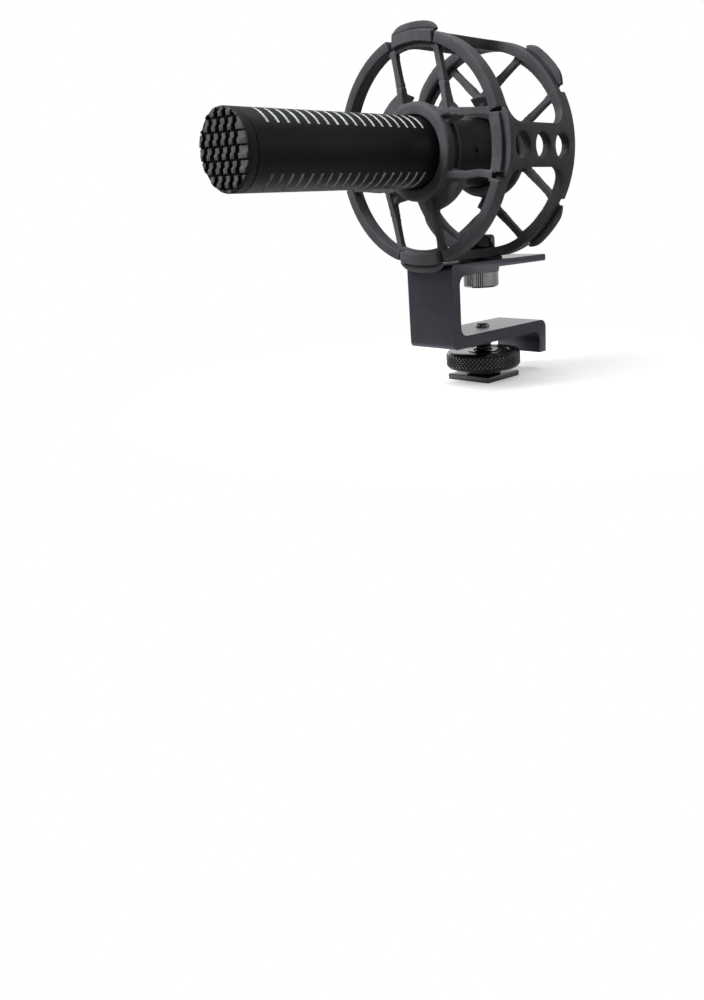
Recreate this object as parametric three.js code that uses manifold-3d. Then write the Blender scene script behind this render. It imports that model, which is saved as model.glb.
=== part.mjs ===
// A short directional microphone held by two rubber spiders in a two-ring cage,
// on a C-shaped bracket with a knurled lock ring and a hot-shoe foot.
// Millimetres, +Z up. The origin is the centre of the foot's underside.
// The microphone lies along Y and points towards -Y.
import * as THREE from 'three';
import { mergeVertices } from 'three/addons/utils/BufferGeometryUtils.js';
import Module from 'manifold-3d';

const wasm = await Module();
wasm.setup();

// Clearances and the overrun of every cut
const seatGap = 0.3;
const slipGap = 0.1;
const overrun = 1;
const quarterThread = 6.35;

// Hot-shoe foot
const footWidth = 18.6;
const footDepth = 18;
const footThickness = 2;
const footChamfer = 0.4;
const neckDiameter = 12.2;
const neckHeight = 1.7;
const studSocketFloor = 0.8;

// Lock ring on the stud
const lockRingDiameter = 26.7;
const lockRingHeight = 6;
const lockRingTeeth = 64;
const lockToothDepth = 0.45;
const lockRimChamfer = 0.8;
const studFreeLength = 4.2;

// C-bracket
const bracketWidth = 19.5;
const bracketLength = 52;
const plateGap = 0.5;
const plateThickness = 4;
const lowerArmThickness = 4;
const bracketHeight = 27.2;
const topArmThickness = 3.7;
const topArmTailThickness = 2.3;
const topArmStep = 2.2;
const nutBossDiameter = 12.8;
const lipDrop = 7.8;
const outerCornerRadius = 1.6;
const innerCornerRadius = 3;
const armEndRadius = 0.5;
const bracketEdge = 0.35;
const studHoleTopDiameter = 5.2;
const studHoleTopDepth = 1.1;

// Bolt, washer and thumb nut that hold the cage
const boltHeadDiameter = 9.5;
const boltHeadHeight = 4.8;
const boltHeadChamfer = 0.6;
const socketAcrossCorners = 5.6;
const socketDepth = 2.8;
const washerDiameter = 15;
const washerThickness = 0.8;
const nutDiameter = 12.2;
const nutHeight = 5.6;
const nutTeeth = 48;
const nutToothDepth = 0.3;
const nutChamfer = 0.5;
const boltEndSetback = 0.7;

// Cage
const cageLength = 37.8;
const ringOuterRadius = 34;
const ringThickness = 3;
const ringWidth = 4.7;
const ringChamfer = 0.45;
const barWidth = 12.2;
const barFilletRadius = 5.5;
const barHoleDiameter = 7.4;
const firstHoleShare = 0.26984;
const holePitchShare = 0.27116;
const seatFlatDepth = 0.6;
const barHoles = 3;

// Rubber spiders
const padHalfAngle = 15.6;
const notchHalfAngle = 17;
const lipHalfAngle = 19.5;
const notchDepth = 2.1;
const slabProud = 0.3;
const slabOuterProud = 0.5;
const padLipRise = 1.6;
const padLipDepth = 3.6;
const humpFront = 0.9;
const humpLength = 2.4;
const humpHeight = 2.2;
const humpCrownInset = 0.8;
const spokeWidth = 2.1;
const spokeThickness = 2;
const spokeSink = 0.5;
const spokeDepth = 1.75;
const collarInset = 1;
const collarLength = 8;
const collarGrip = 0.25;
const collarWall = 2.2;
const flangeRadius = 14.6;
const flangeLength = 3;
const ribRadius = 13.9;
const ribLength = 1.3;
const ribSetback = 0.9;
const collarEdge = 0.4;
const earFrontRadius = 19;
const earRearRadius = 17.5;
const footReachShare = 1.83;
const footHeelShare = 0.93;
const footSpreadShare = 0.838;
const legsPerSpider = 4;

// Two kinds of leg take turns: the spokes of each lean sideways by their own shares
const rootLeanShares = [0.08, -0.068];
const footLeanShares = [0.252, -0.114];

// Microphone housing
const tubeRadius = 10.5;
const tubeWall = 1.2;
const tailOverhang = 3.6;
const tipToCage = 71.6;
const capLength = 3.45;
const seamGap = 0.12;
const capFace = 1;
const capWall = 1;
const blockPitch = 3.4;
const blockWidth = 2.1;
const blockTall = 2.9;
const blockHeight = 1.1;
const blocksAcross = 7;
const gridShiftRight = 0.6;
const gridShiftDown = 0.8;
const gridTurn = 1;
const soundHole = 0.9;
const slotWidth = 0.8;
const firstSlot = 8.65;
const slotsPerRow = 18;
const plainBeforeCage = 5.15;
const slotStartAngle = 36;
const slotEndAngle = 76;
const screwStationShare = 0.4418;
const screwDiameter = 2;
const screwHeadDiameter = 2.6;
const screwHeadSink = 0.25;
const screwHeadHeight = 0.7;
const screwLength = 4;
const screwSlotWidth = 0.4;
const screwSlotDepth = 0.35;

// Inside the microphone
const foamThickness = 4;
const linerWall = 0.5;
const capsuleLength = 9;
const capsuleAheadOfCage = 2.6;
const capsuleHoles = 6;
const capsuleHoleDiameter = 1.2;
const capsuleHoleDepth = 0.8;
const capsuleHoleCircleShare = 0.5;
const sleeveLip = 1.2;
const sleeveWall = 1.7;
const carrierLength = 9;
const boardThickness = 1.6;
const boardSlotGap = 0.15;
const capacitorDiameter = 5;
const capacitorLengthShare = 0.926;
const chipLengthShare = 0.926;
const chipWidth = 4;
const chipHeight = 1.5;
const rearPlateThickness = 1.6;
const rearSpigotLength = 4;
const rearSpigotWall = 1.6;
const socketDiameter = 6;
const socketFlangeDiameter = 8.4;
const socketFlangeThickness = 1;
const socketBore = 3.6;
const socketBoreDepth = 13;
const socketLength = 15;
const leadDiameter = 0.9;
const leadOffset = 2.5;

// Facets
const roundSides = 32;
const ringSides = 64;
const smallSides = 16;
const holeSides = 24;
const fullTurn = Math.PI * 2;
const quarterTurn = Math.PI / 2;
const rightAngle = 90;

// Heights and stations that follow from the sizes
const neckTop = footThickness + neckHeight;
const lockRingBottom = neckTop + seatGap;
const lockRingTop = lockRingBottom + lockRingHeight;
const armBottom = lockRingTop + studFreeLength;
const armTop = armBottom + lowerArmThickness;
const bracketTop = armBottom + bracketHeight;
const ringInnerRadius = ringOuterRadius - ringThickness;
const seatDistance = ringOuterRadius - seatFlatDepth;
const padInnerRadius = ringInnerRadius - padLipRise;
const seatHeight = bracketTop + washerThickness + slipGap;
const axisHeight = seatHeight + seatDistance;
const firstHole = cageLength * firstHoleShare;
const holePitch = cageLength * holePitchShare;
const boltFromCageFront = firstHole + holePitch * (barHoles - 1);
const cageFront = -boltFromCageFront;
const cageRear = cageFront + cageLength;
const bracketFront = boltFromCageFront - humpFront - humpLength - plateGap;
const tip = cageFront - tipToCage;
const micLength = tipToCage + cageLength + tailOverhang;
const slotPitch = (tipToCage - firstSlot - plainBeforeCage) / (slotsPerRow - 1);
const screwFromTip = tipToCage + cageLength * screwStationShare;
const capsuleFrontFromTip = tipToCage - capsuleAheadOfCage;
const socketFlangeEnd = micLength + slipGap + socketFlangeThickness;
const socketFront = socketFlangeEnd - socketLength;
const bore = tubeRadius - tubeWall;
const capsuleRadius = bore - seatGap - sleeveWall - seatGap;
const screwEnd = tubeRadius - screwHeadSink - screwLength;
const boardHalfWidth = screwEnd - seatGap - boardSlotGap;
const spokePadOffset = padInnerRadius * Math.sin(THREE.MathUtils.degToRad(lipHalfAngle)) - spokeWidth / 2;
const spokeRoot = Math.sqrt((padInnerRadius + spokeSink) ** 2 - spokePadOffset ** 2);
const footReach = tubeRadius * footReachShare;
const footHeel = tubeRadius * footHeelShare;
const boltHeadSeat = axisHeight - ringInnerRadius;
const nutTop = bracketTop - topArmThickness - slipGap;
const nutBottom = nutTop - nutHeight;

const radians = THREE.MathUtils.degToRad;

// A closed solid from a closed three.js geometry, with its faces turned outwards
function solid(geometry) {
  const bare = geometry.index ? geometry.toNonIndexed() : geometry.clone();
  bare.deleteAttribute('normal');
  bare.deleteAttribute('uv');
  const merged = mergeVertices(bare);
  const place = merged.attributes.position;
  const corners = [new THREE.Vector3(), new THREE.Vector3(), new THREE.Vector3()];
  const triangles = [];
  let volume = 0;
  for (let i = 0; i < merged.index.count; i += 3) {
    const ids = [0, 1, 2].map((k) => merged.index.getX(i + k));
    if (new Set(ids).size < ids.length) continue;
    ids.forEach((id, k) => corners[k].fromBufferAttribute(place, id));
    volume += corners[0].dot(corners[1].clone().cross(corners[2]));
    triangles.push(ids);
  }
  const outward = volume > 0 ? triangles : triangles.map(([a, b, c]) => [a, c, b]);
  return new wasm.Manifold(new wasm.Mesh({
    numProp: 3,
    vertProperties: new Float32Array(place.array),
    triVerts: new Uint32Array(outward.flat()),
  }));
}

function joined(solids) {
  return solids.reduce((sum, next) => sum.add(next));
}

// Turned about Y: the outline is a list of [radius, y]
function turned(outline, sides = roundSides) {
  const points = outline.map(([r, y]) => new THREE.Vector2(r, y));
  return solid(new THREE.LatheGeometry([...points, points[0].clone()], sides));
}

// Turned about Z: the outline is a list of [radius, z]
function turnedUp(outline, sides = roundSides) {
  const points = outline.map(([r, z]) => new THREE.Vector2(r, z));
  const geometry = new THREE.LatheGeometry([...points, points[0].clone()], sides);
  return solid(geometry.rotateX(quarterTurn));
}

function rodY(radius, from, to, x = 0, z = 0, sides = roundSides) {
  const geometry = new THREE.CylinderGeometry(radius, radius, to - from, sides);
  return solid(geometry.translate(x, (from + to) / 2, z));
}

function rodZ(radius, from, to, x = 0, y = 0, sides = roundSides) {
  const geometry = new THREE.CylinderGeometry(radius, radius, to - from, sides);
  return solid(geometry.rotateX(quarterTurn).translate(x, y, (from + to) / 2));
}

function rodX(radius, from, to, y = 0, z = 0, sides = roundSides) {
  const geometry = new THREE.CylinderGeometry(radius, radius, to - from, sides);
  return solid(geometry.rotateZ(quarterTurn).translate((from + to) / 2, y, z));
}

function block(from, to) {
  const size = to.map((value, i) => value - from[i]);
  const geometry = new THREE.BoxGeometry(...size);
  return solid(geometry.translate(...from.map((value, i) => value + size[i] / 2)));
}

// An outline in x and z, extruded along Y between two stations
function prismY(shape, from, to, steps = 8) {
  const options = { depth: to - from, bevelEnabled: false, curveSegments: steps };
  const geometry = new THREE.ExtrudeGeometry(shape, options).rotateX(quarterTurn);
  return solid(geometry.translate(0, to, 0));
}

// A gear-like outline for a straight knurl, extruded along Z
function knurled(radius, depth, teeth, from, to) {
  const shape = new THREE.Shape();
  for (let i = 0; i < teeth * 2; i += 1) {
    const r = i % 2 ? radius - depth : radius;
    const angle = (i / (teeth * 2)) * fullTurn;
    const act = i ? 'lineTo' : 'moveTo';
    shape[act](r * Math.cos(angle), r * Math.sin(angle));
  }
  const options = { depth: to - from, bevelEnabled: false };
  return solid(new THREE.ExtrudeGeometry(shape, options).translate(0, 0, from));
}

// A sector of a round band about the Y axis, centred on +Z
function sector(inner, outer, halfAngle, from, to) {
  const shape = new THREE.Shape();
  const start = quarterTurn - radians(halfAngle);
  const end = quarterTurn + radians(halfAngle);
  shape.absarc(0, 0, outer, start, end, false);
  shape.absarc(0, 0, inner, end, start, true);
  shape.closePath();
  return prismY(shape, from, to, 6);
}

// A bar of rectangular section along a curve
function bar(points, width, thickness, steps) {
  const section = new THREE.Shape();
  section.moveTo(-thickness / 2, -width / 2);
  section.lineTo(thickness / 2, -width / 2);
  section.lineTo(thickness / 2, width / 2);
  section.lineTo(-thickness / 2, width / 2);
  section.closePath();
  const path = new THREE.CatmullRomCurve3(points.map((p) => new THREE.Vector3(...p)));
  const options = { steps, bevelEnabled: false, extrudePath: path };
  return solid(new THREE.ExtrudeGeometry(section, options));
}

const finishes = {
  anodised: { color: 0x3a3940, roughness: 0.42, metalness: 0.9 },
  steel: { color: 0xc9c9cc, roughness: 0.3, metalness: 1 },
  blackSteel: { color: 0x17171a, roughness: 0.35, metalness: 0.8 },
  cage: { color: 0x3b3a3e, roughness: 0.62, metalness: 0 },
  rubber: { color: 0x4a4a4d, roughness: 0.75, metalness: 0 },
  housing: { color: 0x1b1d1f, roughness: 0.55, metalness: 0.4 },
  grille: { color: 0x3c3b3e, roughness: 0.6, metalness: 0.3 },
  foam: { color: 0x111112, roughness: 0.95, metalness: 0 },
  liner: { color: 0xb8b8b6, roughness: 0.9, metalness: 0 },
  plastic: { color: 0x222224, roughness: 0.6, metalness: 0 },
  board: { color: 0x1f5a35, roughness: 0.5, metalness: 0 },
  gold: { color: 0xc9a24a, roughness: 0.35, metalness: 1 },
  redWire: { color: 0xa02020, roughness: 0.5, metalness: 0 },
};

function named(name, shape, finish) {
  const out = shape.getMesh();
  const geometry = new THREE.BufferGeometry();
  geometry.setAttribute('position', new THREE.BufferAttribute(out.vertProperties, 3));
  geometry.setIndex(new THREE.BufferAttribute(out.triVerts, 1));
  geometry.computeVertexNormals();
  const mesh = new THREE.Mesh(geometry, new THREE.MeshStandardMaterial(finishes[finish]));
  mesh.name = name;
  return mesh;
}

function footPieces() {
  const halfWidth = footWidth / 2;
  const halfDepth = footDepth / 2;
  const shape = new THREE.Shape();
  shape.moveTo(-halfWidth + footChamfer, -halfDepth + footChamfer);
  shape.lineTo(halfWidth - footChamfer, -halfDepth + footChamfer);
  shape.lineTo(halfWidth - footChamfer, halfDepth - footChamfer);
  shape.lineTo(-halfWidth + footChamfer, halfDepth - footChamfer);
  shape.closePath();
  const plate = solid(new THREE.ExtrudeGeometry(shape, {
    depth: footThickness - footChamfer * 2,
    bevelSize: footChamfer,
    bevelThickness: footChamfer,
    bevelSegments: 1,
  }).translate(0, 0, footChamfer));
  const neck = rodZ(neckDiameter / 2, footThickness / 2, neckTop);
  const studRadius = quarterThread / 2;
  const socket = rodZ(studRadius + slipGap, studSocketFloor, neckTop + overrun);
  const studTop = armTop - studHoleTopDepth - seatGap;
  const stud = turnedUp([
    [0, studSocketFloor + slipGap],
    [studRadius, studSocketFloor + slipGap],
    [studRadius, studTop - seatGap],
    [studRadius - seatGap, studTop],
    [0, studTop],
  ]);
  return [
    named('shoe_foot', plate.add(neck).subtract(socket), 'blackSteel'),
    named('threaded_stud', stud, 'steel'),
  ];
}

function lockRing() {
  const radius = lockRingDiameter / 2;
  const rim = radius - lockRimChamfer;
  const body = knurled(radius, lockToothDepth, lockRingTeeth, lockRingBottom, lockRingTop);
  const envelope = turnedUp([
    [0, lockRingBottom],
    [rim, lockRingBottom],
    [radius, lockRingBottom + lockRimChamfer],
    [radius, lockRingTop - lockRimChamfer],
    [rim, lockRingTop],
    [0, lockRingTop],
  ], ringSides);
  const hole = rodZ(quarterThread / 2 + seatGap, lockRingBottom - overrun, lockRingTop + overrun);
  return named('lock_ring', body.intersect(envelope).subtract(hole), 'blackSteel');
}

// The bracket's side outline in y and z: plate, lower arm with its lip, top arm with its step
function bracketOutline() {
  const front = -bracketFront;
  const rear = front + bracketLength;
  const inside = front + plateThickness;
  const lipInside = rear - plateThickness;
  const lipBottom = armBottom - lipDrop;
  const thickUnder = bracketTop - topArmThickness;
  const tailUnder = bracketTop - topArmTailThickness;
  const o = outerCornerRadius;
  const i = innerCornerRadius;
  const e = armEndRadius;
  const shape = new THREE.Shape();
  shape.moveTo(front + o, armBottom);
  shape.lineTo(lipInside - i, armBottom);
  shape.absarc(lipInside - i, armBottom - i, i, quarterTurn, 0, true);
  shape.lineTo(lipInside, lipBottom);
  shape.lineTo(rear, lipBottom);
  shape.lineTo(rear, armTop - i);
  shape.absarc(rear - i, armTop - i, i, 0, quarterTurn, false);
  shape.lineTo(inside + i, armTop);
  shape.absarc(inside + i, armTop + i, i, -quarterTurn, -Math.PI, true);
  shape.lineTo(inside, thickUnder - i);
  shape.absarc(inside + i, thickUnder - i, i, Math.PI, quarterTurn, true);
  shape.lineTo(-topArmStep, thickUnder);
  shape.lineTo(-topArmStep, tailUnder);
  shape.lineTo(rear - e, tailUnder);
  shape.lineTo(rear, tailUnder + e);
  shape.lineTo(rear, bracketTop - e);
  shape.lineTo(rear - e, bracketTop);
  shape.lineTo(front + o, bracketTop);
  shape.absarc(front + o, bracketTop - o, o, quarterTurn, Math.PI, false);
  shape.lineTo(front, armBottom + o);
  shape.absarc(front + o, armBottom + o, o, Math.PI, Math.PI + quarterTurn, false);
  return shape;
}

function bracket() {
  const options = {
    depth: bracketWidth - bracketEdge * 2,
    bevelSize: bracketEdge,
    bevelOffset: -bracketEdge,
    bevelThickness: bracketEdge,
    bevelSegments: 1,
    curveSegments: 5,
  };
  const yzx = new THREE.Matrix4().makeBasis(
    new THREE.Vector3(0, 1, 0),
    new THREE.Vector3(0, 0, 1),
    new THREE.Vector3(1, 0, 0),
  );
  const geometry = new THREE.ExtrudeGeometry(bracketOutline(), options);
  geometry.translate(0, 0, -bracketWidth / 2 + bracketEdge).applyMatrix4(yzx);
  const thickUnder = bracketTop - topArmThickness;
  const boss = rodZ(nutBossDiameter / 2, thickUnder, bracketTop - topArmTailThickness / 2);
  const boltHole = rodZ(quarterThread / 2 + seatGap, thickUnder - overrun, bracketTop + overrun);
  const studHole = rodZ(quarterThread / 2 + slipGap, armBottom - overrun, armTop - studHoleTopDepth);
  const studTopHole = rodZ(studHoleTopDiameter / 2, armBottom, armTop + overrun);
  const cuts = joined([boltHole, studHole, studTopHole]);
  return named('c_bracket', solid(geometry).add(boss).subtract(cuts), 'anodised');
}

function cageFasteners() {
  const radius = quarterThread / 2;
  const head = boltHeadDiameter / 2;
  const headTop = boltHeadSeat + slipGap + boltHeadHeight;
  const bolt = turnedUp([
    [0, nutBottom + boltEndSetback],
    [radius, nutBottom + boltEndSetback],
    [radius, boltHeadSeat + slipGap],
    [head, boltHeadSeat + slipGap],
    [head, headTop - boltHeadChamfer],
    [head - boltHeadChamfer, headTop],
    [0, headTop],
  ]);
  const hexSides = 6;
  const hexSocket = rodZ(socketAcrossCorners / 2, headTop - socketDepth, headTop + overrun, 0, 0, hexSides);
  const washer = turnedUp([
    [radius + seatGap, bracketTop],
    [washerDiameter / 2, bracketTop],
    [washerDiameter / 2, bracketTop + washerThickness],
    [radius + seatGap, bracketTop + washerThickness],
  ]);
  return [
    named('cage_bolt', bolt.subtract(hexSocket), 'blackSteel'),
    named('cage_washer', washer, 'rubber'),
  ];
}

function thumbNut() {
  const radius = nutDiameter / 2;
  const rim = radius - nutChamfer;
  const body = knurled(radius, nutToothDepth, nutTeeth, nutBottom, nutTop);
  const envelope = turnedUp([
    [0, nutBottom],
    [rim, nutBottom],
    [radius, nutBottom + nutChamfer],
    [radius, nutTop - nutChamfer],
    [rim, nutTop],
    [0, nutTop],
  ], nutTeeth);
  const hole = rodZ(quarterThread / 2 + seatGap, nutBottom - overrun, nutTop + overrun);
  return named('thumb_nut', body.intersect(envelope).subtract(hole), 'steel');
}

// The cage is drawn about its own axis, with its front face at y = 0
function ringBand(from) {
  const to = from + ringWidth;
  const c = ringChamfer;
  return turned([
    [ringInnerRadius, from + c],
    [ringInnerRadius + c, from],
    [ringOuterRadius - c, from],
    [ringOuterRadius, from + c],
    [ringOuterRadius, to - c],
    [ringOuterRadius - c, to],
    [ringInnerRadius + c, to],
    [ringInnerRadius, to - c],
  ], ringSides);
}

// One bar, flaring into both rings, centred on +Z before it is turned
function cageBar() {
  const half = barWidth / 2;
  const f = barFilletRadius;
  const near = ringWidth;
  const far = cageLength - ringWidth;
  const inset = ringWidth / 2;
  const shape = new THREE.Shape();
  shape.moveTo(-half - f, near - inset);
  shape.lineTo(half + f, near - inset);
  shape.lineTo(half + f, near);
  shape.absarc(half + f, near + f, f, -quarterTurn, -Math.PI, true);
  shape.lineTo(half, far - f);
  shape.absarc(half + f, far - f, f, Math.PI, quarterTurn, true);
  shape.lineTo(half + f, far + inset);
  shape.lineTo(-half - f, far + inset);
  shape.lineTo(-half - f, far);
  shape.absarc(-half - f, far - f, f, quarterTurn, 0, true);
  shape.lineTo(-half, near + f);
  shape.absarc(-half - f, near + f, f, 0, -quarterTurn, true);
  shape.closePath();
  const depth = ringOuterRadius - ringInnerRadius + overrun * 2 + f;
  const options = { depth, bevelEnabled: false, curveSegments: 5 };
  const geometry = new THREE.ExtrudeGeometry(shape, options);
  return geometry.translate(0, 0, ringInnerRadius - overrun - f / 2);
}

function cage() {
  const shell = turned([
    [ringInnerRadius, ringWidth / 2],
    [ringOuterRadius, ringWidth / 2],
    [ringOuterRadius, cageLength - ringWidth / 2],
    [ringInnerRadius, cageLength - ringWidth / 2],
  ], ringSides);
  const bars = [];
  const notches = [];
  const reach = ringOuterRadius + overrun;
  const holes = [];
  for (let k = 0; k < legsPerSpider; k += 1) {
    const turn = k * quarterTurn;
    bars.push(solid(cageBar().rotateY(turn)));
    const front = sector(ringInnerRadius - overrun, reach, notchHalfAngle, -overrun, notchDepth);
    const back = sector(
      ringInnerRadius - overrun,
      reach,
      notchHalfAngle,
      cageLength - notchDepth,
      cageLength + overrun,
    );
    notches.push(front.rotate([0, THREE.MathUtils.radToDeg(turn), 0]));
    notches.push(back.rotate([0, THREE.MathUtils.radToDeg(turn + quarterTurn / 2), 0]));
  }
  for (let k = 0; k < barHoles; k += 1) {
    const y = firstHole + k * holePitch;
    holes.push(rodX(barHoleDiameter / 2, -reach, reach, y, 0, holeSides));
    holes.push(rodZ(barHoleDiameter / 2, -reach, reach, 0, y, holeSides));
  }
  const seat = block(
    [-ringOuterRadius, -overrun, -reach - overrun],
    [ringOuterRadius, cageLength + overrun, -seatDistance],
  );
  const spotRadius = boltHeadDiameter / 2 + seatGap;
  const spotFace = rodZ(spotRadius, -ringInnerRadius, overrun - ringInnerRadius, 0, boltFromCageFront);
  const body = joined([ringBand(0), ringBand(cageLength - ringWidth), shell.intersect(joined(bars))]);
  return named('cage', body.subtract(joined([...notches, ...holes, seat, spotFace])), 'cage');
}

// How far a spoke stands across its leg at a distance from the axis
function spokeAcross(side, kind, distance) {
  const root = spokePadOffset * (side + rootLeanShares[kind]);
  const foot = tubeRadius * (side * footSpreadShare + footLeanShares[kind]);
  const share = (distance - spokeRoot) / (footReach - spokeRoot);
  return root + (foot - root) * share;
}

// One leg of a spider: a pad hooked over the ring, and two spokes towards the collar.
// It is drawn at the top of a ring whose outward face is at y = 0.
function spiderLeg(name, kind) {
  const slabOuter = ringOuterRadius + slabOuterProud;
  const slab = sector(padInnerRadius, slabOuter, padHalfAngle, -slabProud, notchDepth - seatGap);
  const lipOuter = ringInnerRadius - seatGap;
  const slabLip = sector(padInnerRadius, lipOuter, padHalfAngle, -slabProud, padLipDepth);
  const lip = sector(padInnerRadius, lipOuter, lipHalfAngle, spokeDepth - spokeThickness / 4, padLipDepth);
  const humpInner = ringOuterRadius + seatGap;
  const humpOuter = humpInner + humpHeight;
  const humpEnd = humpFront + humpLength;
  const hump = sector(humpInner, humpOuter - humpCrownInset, padHalfAngle, humpFront, humpEnd);
  const crown = sector(
    humpInner,
    humpOuter,
    padHalfAngle - humpCrownInset * 2,
    humpFront + humpCrownInset / 2,
    humpEnd - humpCrownInset / 2,
  );
  const spokes = [-1, 1].map((side) => {
    const start = [spokeAcross(side, kind, spokeRoot), spokeDepth, spokeRoot];
    const end = [spokeAcross(side, kind, footReach + seatGap), spokeDepth, footReach + seatGap];
    return bar([start, end], spokeWidth, spokeThickness, 1);
  });
  return named(name, joined([slab, slabLip, lip, hump, crown, ...spokes]), 'rubber');
}

// The collar has a thick ear between each two legs, and a foot for each spoke
function collar(name, firstKind) {
  const inner = tubeRadius + collarGrip;
  const outer = inner + collarWall;
  const e = collarEdge;
  const front = -collarInset;
  const rear = front + collarLength;
  const ribFront = rear - ribSetback - ribLength;
  const body = turned([
    [inner, front],
    [flangeRadius - e, front],
    [flangeRadius, front + e],
    [flangeRadius, front + flangeLength - e],
    [flangeRadius - e, front + flangeLength],
    [outer, front + flangeLength],
    [outer, ribFront],
    [ribRadius, ribFront + e],
    [ribRadius, ribFront + ribLength - e],
    [outer, ribFront + ribLength],
    [outer, rear],
    [inner, rear],
  ]);
  const taper = turned([
    [0, front],
    [earFrontRadius, front],
    [earRearRadius, rear],
    [0, rear],
  ]);
  const ears = [];
  for (let k = 0; k < legsPerSpider; k += 1) {
    const kind = (k + firstKind) % 2;
    const feet = [-1, 1].map((side) => {
      const start = [spokeAcross(side, kind, footReach), spokeDepth, footReach];
      const end = [spokeAcross(side, kind, footHeel), spokeDepth, footHeel];
      return bar([start, end], spokeWidth, spokeThickness, 1);
    });
    const [from, to] = [
      spokeAcross(1, kind, footReach) - spokeWidth / 2,
      -spokeAcross(-1, 1 - kind, footReach) - spokeWidth / 2,
    ].map((across) => THREE.MathUtils.radToDeg(Math.asin(across / earRearRadius)));
    const half = (rightAngle - to - from) / 2;
    const block = sector((inner + outer) / 2, earFrontRadius, half, front + e, rear - e);
    const ear = block.rotate([0, from + half, 0]).intersect(taper);
    ears.push(joined([ear, ...feet]).rotate([0, k * rightAngle, 0]));
  }
  const bored = rodY(inner, front - overrun, rear + overrun);
  return named(name, joined([body, ...ears]).subtract(bored), 'rubber');
}

// A whole spider stands in a group with its ring's outward face at y = 0
function spider(prefix, legNames, firstKind) {
  const group = new THREE.Group();
  group.add(collar(`${prefix}_collar`, firstKind));
  legNames.forEach((legName, k) => {
    const leg = spiderLeg(`${prefix}_leg_${legName}`, (k + firstKind) % 2);
    leg.rotation.y = k * quarterTurn;
    group.add(leg);
  });
  return group;
}

// The front cap: a cup whose face carries the raised blocks and the sound holes
function grilleCap() {
  const faceBack = blockHeight + capFace;
  const cup = turned([
    [0, blockHeight],
    [tubeRadius, blockHeight],
    [tubeRadius, capLength - seamGap],
    [tubeRadius - capWall, capLength - seamGap],
    [tubeRadius - capWall, faceBack],
    [0, faceBack],
  ]);
  const turn = radians(gridTurn);
  const middle = (blocksAcross - 1) / 2;
  const depth = faceBack - slipGap;
  const blocks = [];
  const holes = [];
  for (let i = 0; i < blocksAcross; i += 1) {
    for (let j = 0; j < blocksAcross; j += 1) {
      const x = (i - middle) * blockPitch + gridShiftRight;
      const z = (j - middle) * blockPitch - gridShiftDown;
      const left = x - blockWidth / 2;
      const right = x + blockPitch < tubeRadius ? x + blockWidth / 2 : tubeRadius;
      if (Math.hypot(left, z) < tubeRadius || Math.hypot(right, z) < tubeRadius) {
        blocks.push(new THREE.BoxGeometry(right - left, depth, blockTall)
          .translate((left + right) / 2, depth / 2, z).rotateY(turn));
      }
      const hx = x + blockPitch / 2;
      const hz = z + blockPitch / 2;
      if (Math.hypot(hx, hz) < tubeRadius - capWall - soundHole) {
        holes.push(new THREE.BoxGeometry(soundHole, faceBack * 2 + overrun, soundHole)
          .translate(hx, faceBack, hz).rotateY(turn));
      }
    }
  }
  const rim = rodY(tubeRadius, 0, faceBack);
  const raised = joined(blocks.map(solid)).intersect(rim);
  return named('grille_cap', cup.add(raised).subtract(joined(holes.map(solid))), 'grille');
}

// The tube, its four rows of slots and the hole for its screw
function housingTube() {
  const end = micLength - rearPlateThickness;
  const body = turned([
    [bore, capLength],
    [tubeRadius, capLength],
    [tubeRadius, end],
    [bore, end],
  ]);
  const middle = (slotStartAngle + slotEndAngle) / 2;
  const half = (slotEndAngle - slotStartAngle) / 2;
  const cuts = [];
  for (let k = 0; k < slotsPerRow; k += 1) {
    const y = firstSlot + k * slotPitch;
    const slot = sector(bore - overrun, tubeRadius + overrun, half, y - slotWidth / 2, y + slotWidth / 2);
    for (const side of [rightAngle, -rightAngle]) {
      cuts.push(slot.rotate([0, side - middle, 0]));
      cuts.push(slot.rotate([0, side + middle, 0]));
    }
  }
  const headDepth = screwHeadSink + screwHeadHeight;
  cuts.push(rodX(screwHeadDiameter / 2 + slipGap, tubeRadius - headDepth, tubeRadius + overrun, screwFromTip, 0, smallSides));
  cuts.push(rodX(screwDiameter / 2 + slipGap, bore - overrun, tubeRadius, screwFromTip, 0, smallSides));
  return named('housing_tube', body.subtract(joined(cuts)), 'housing');
}

function housingScrew() {
  const outside = tubeRadius - screwHeadSink;
  const under = outside - screwHeadHeight + slipGap;
  const head = rodX(screwHeadDiameter / 2, under, outside, screwFromTip, 0, smallSides);
  const shank = rodX(screwDiameter / 2, screwEnd, outside - screwHeadHeight / 2, screwFromTip, 0, smallSides);
  const slot = block(
    [outside - screwSlotDepth, screwFromTip - screwHeadDiameter, -screwSlotWidth / 2],
    [outside + overrun, screwFromTip + screwHeadDiameter, screwSlotWidth / 2],
  );
  return named('housing_screw', head.add(shank).subtract(slot), 'blackSteel');
}

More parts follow.
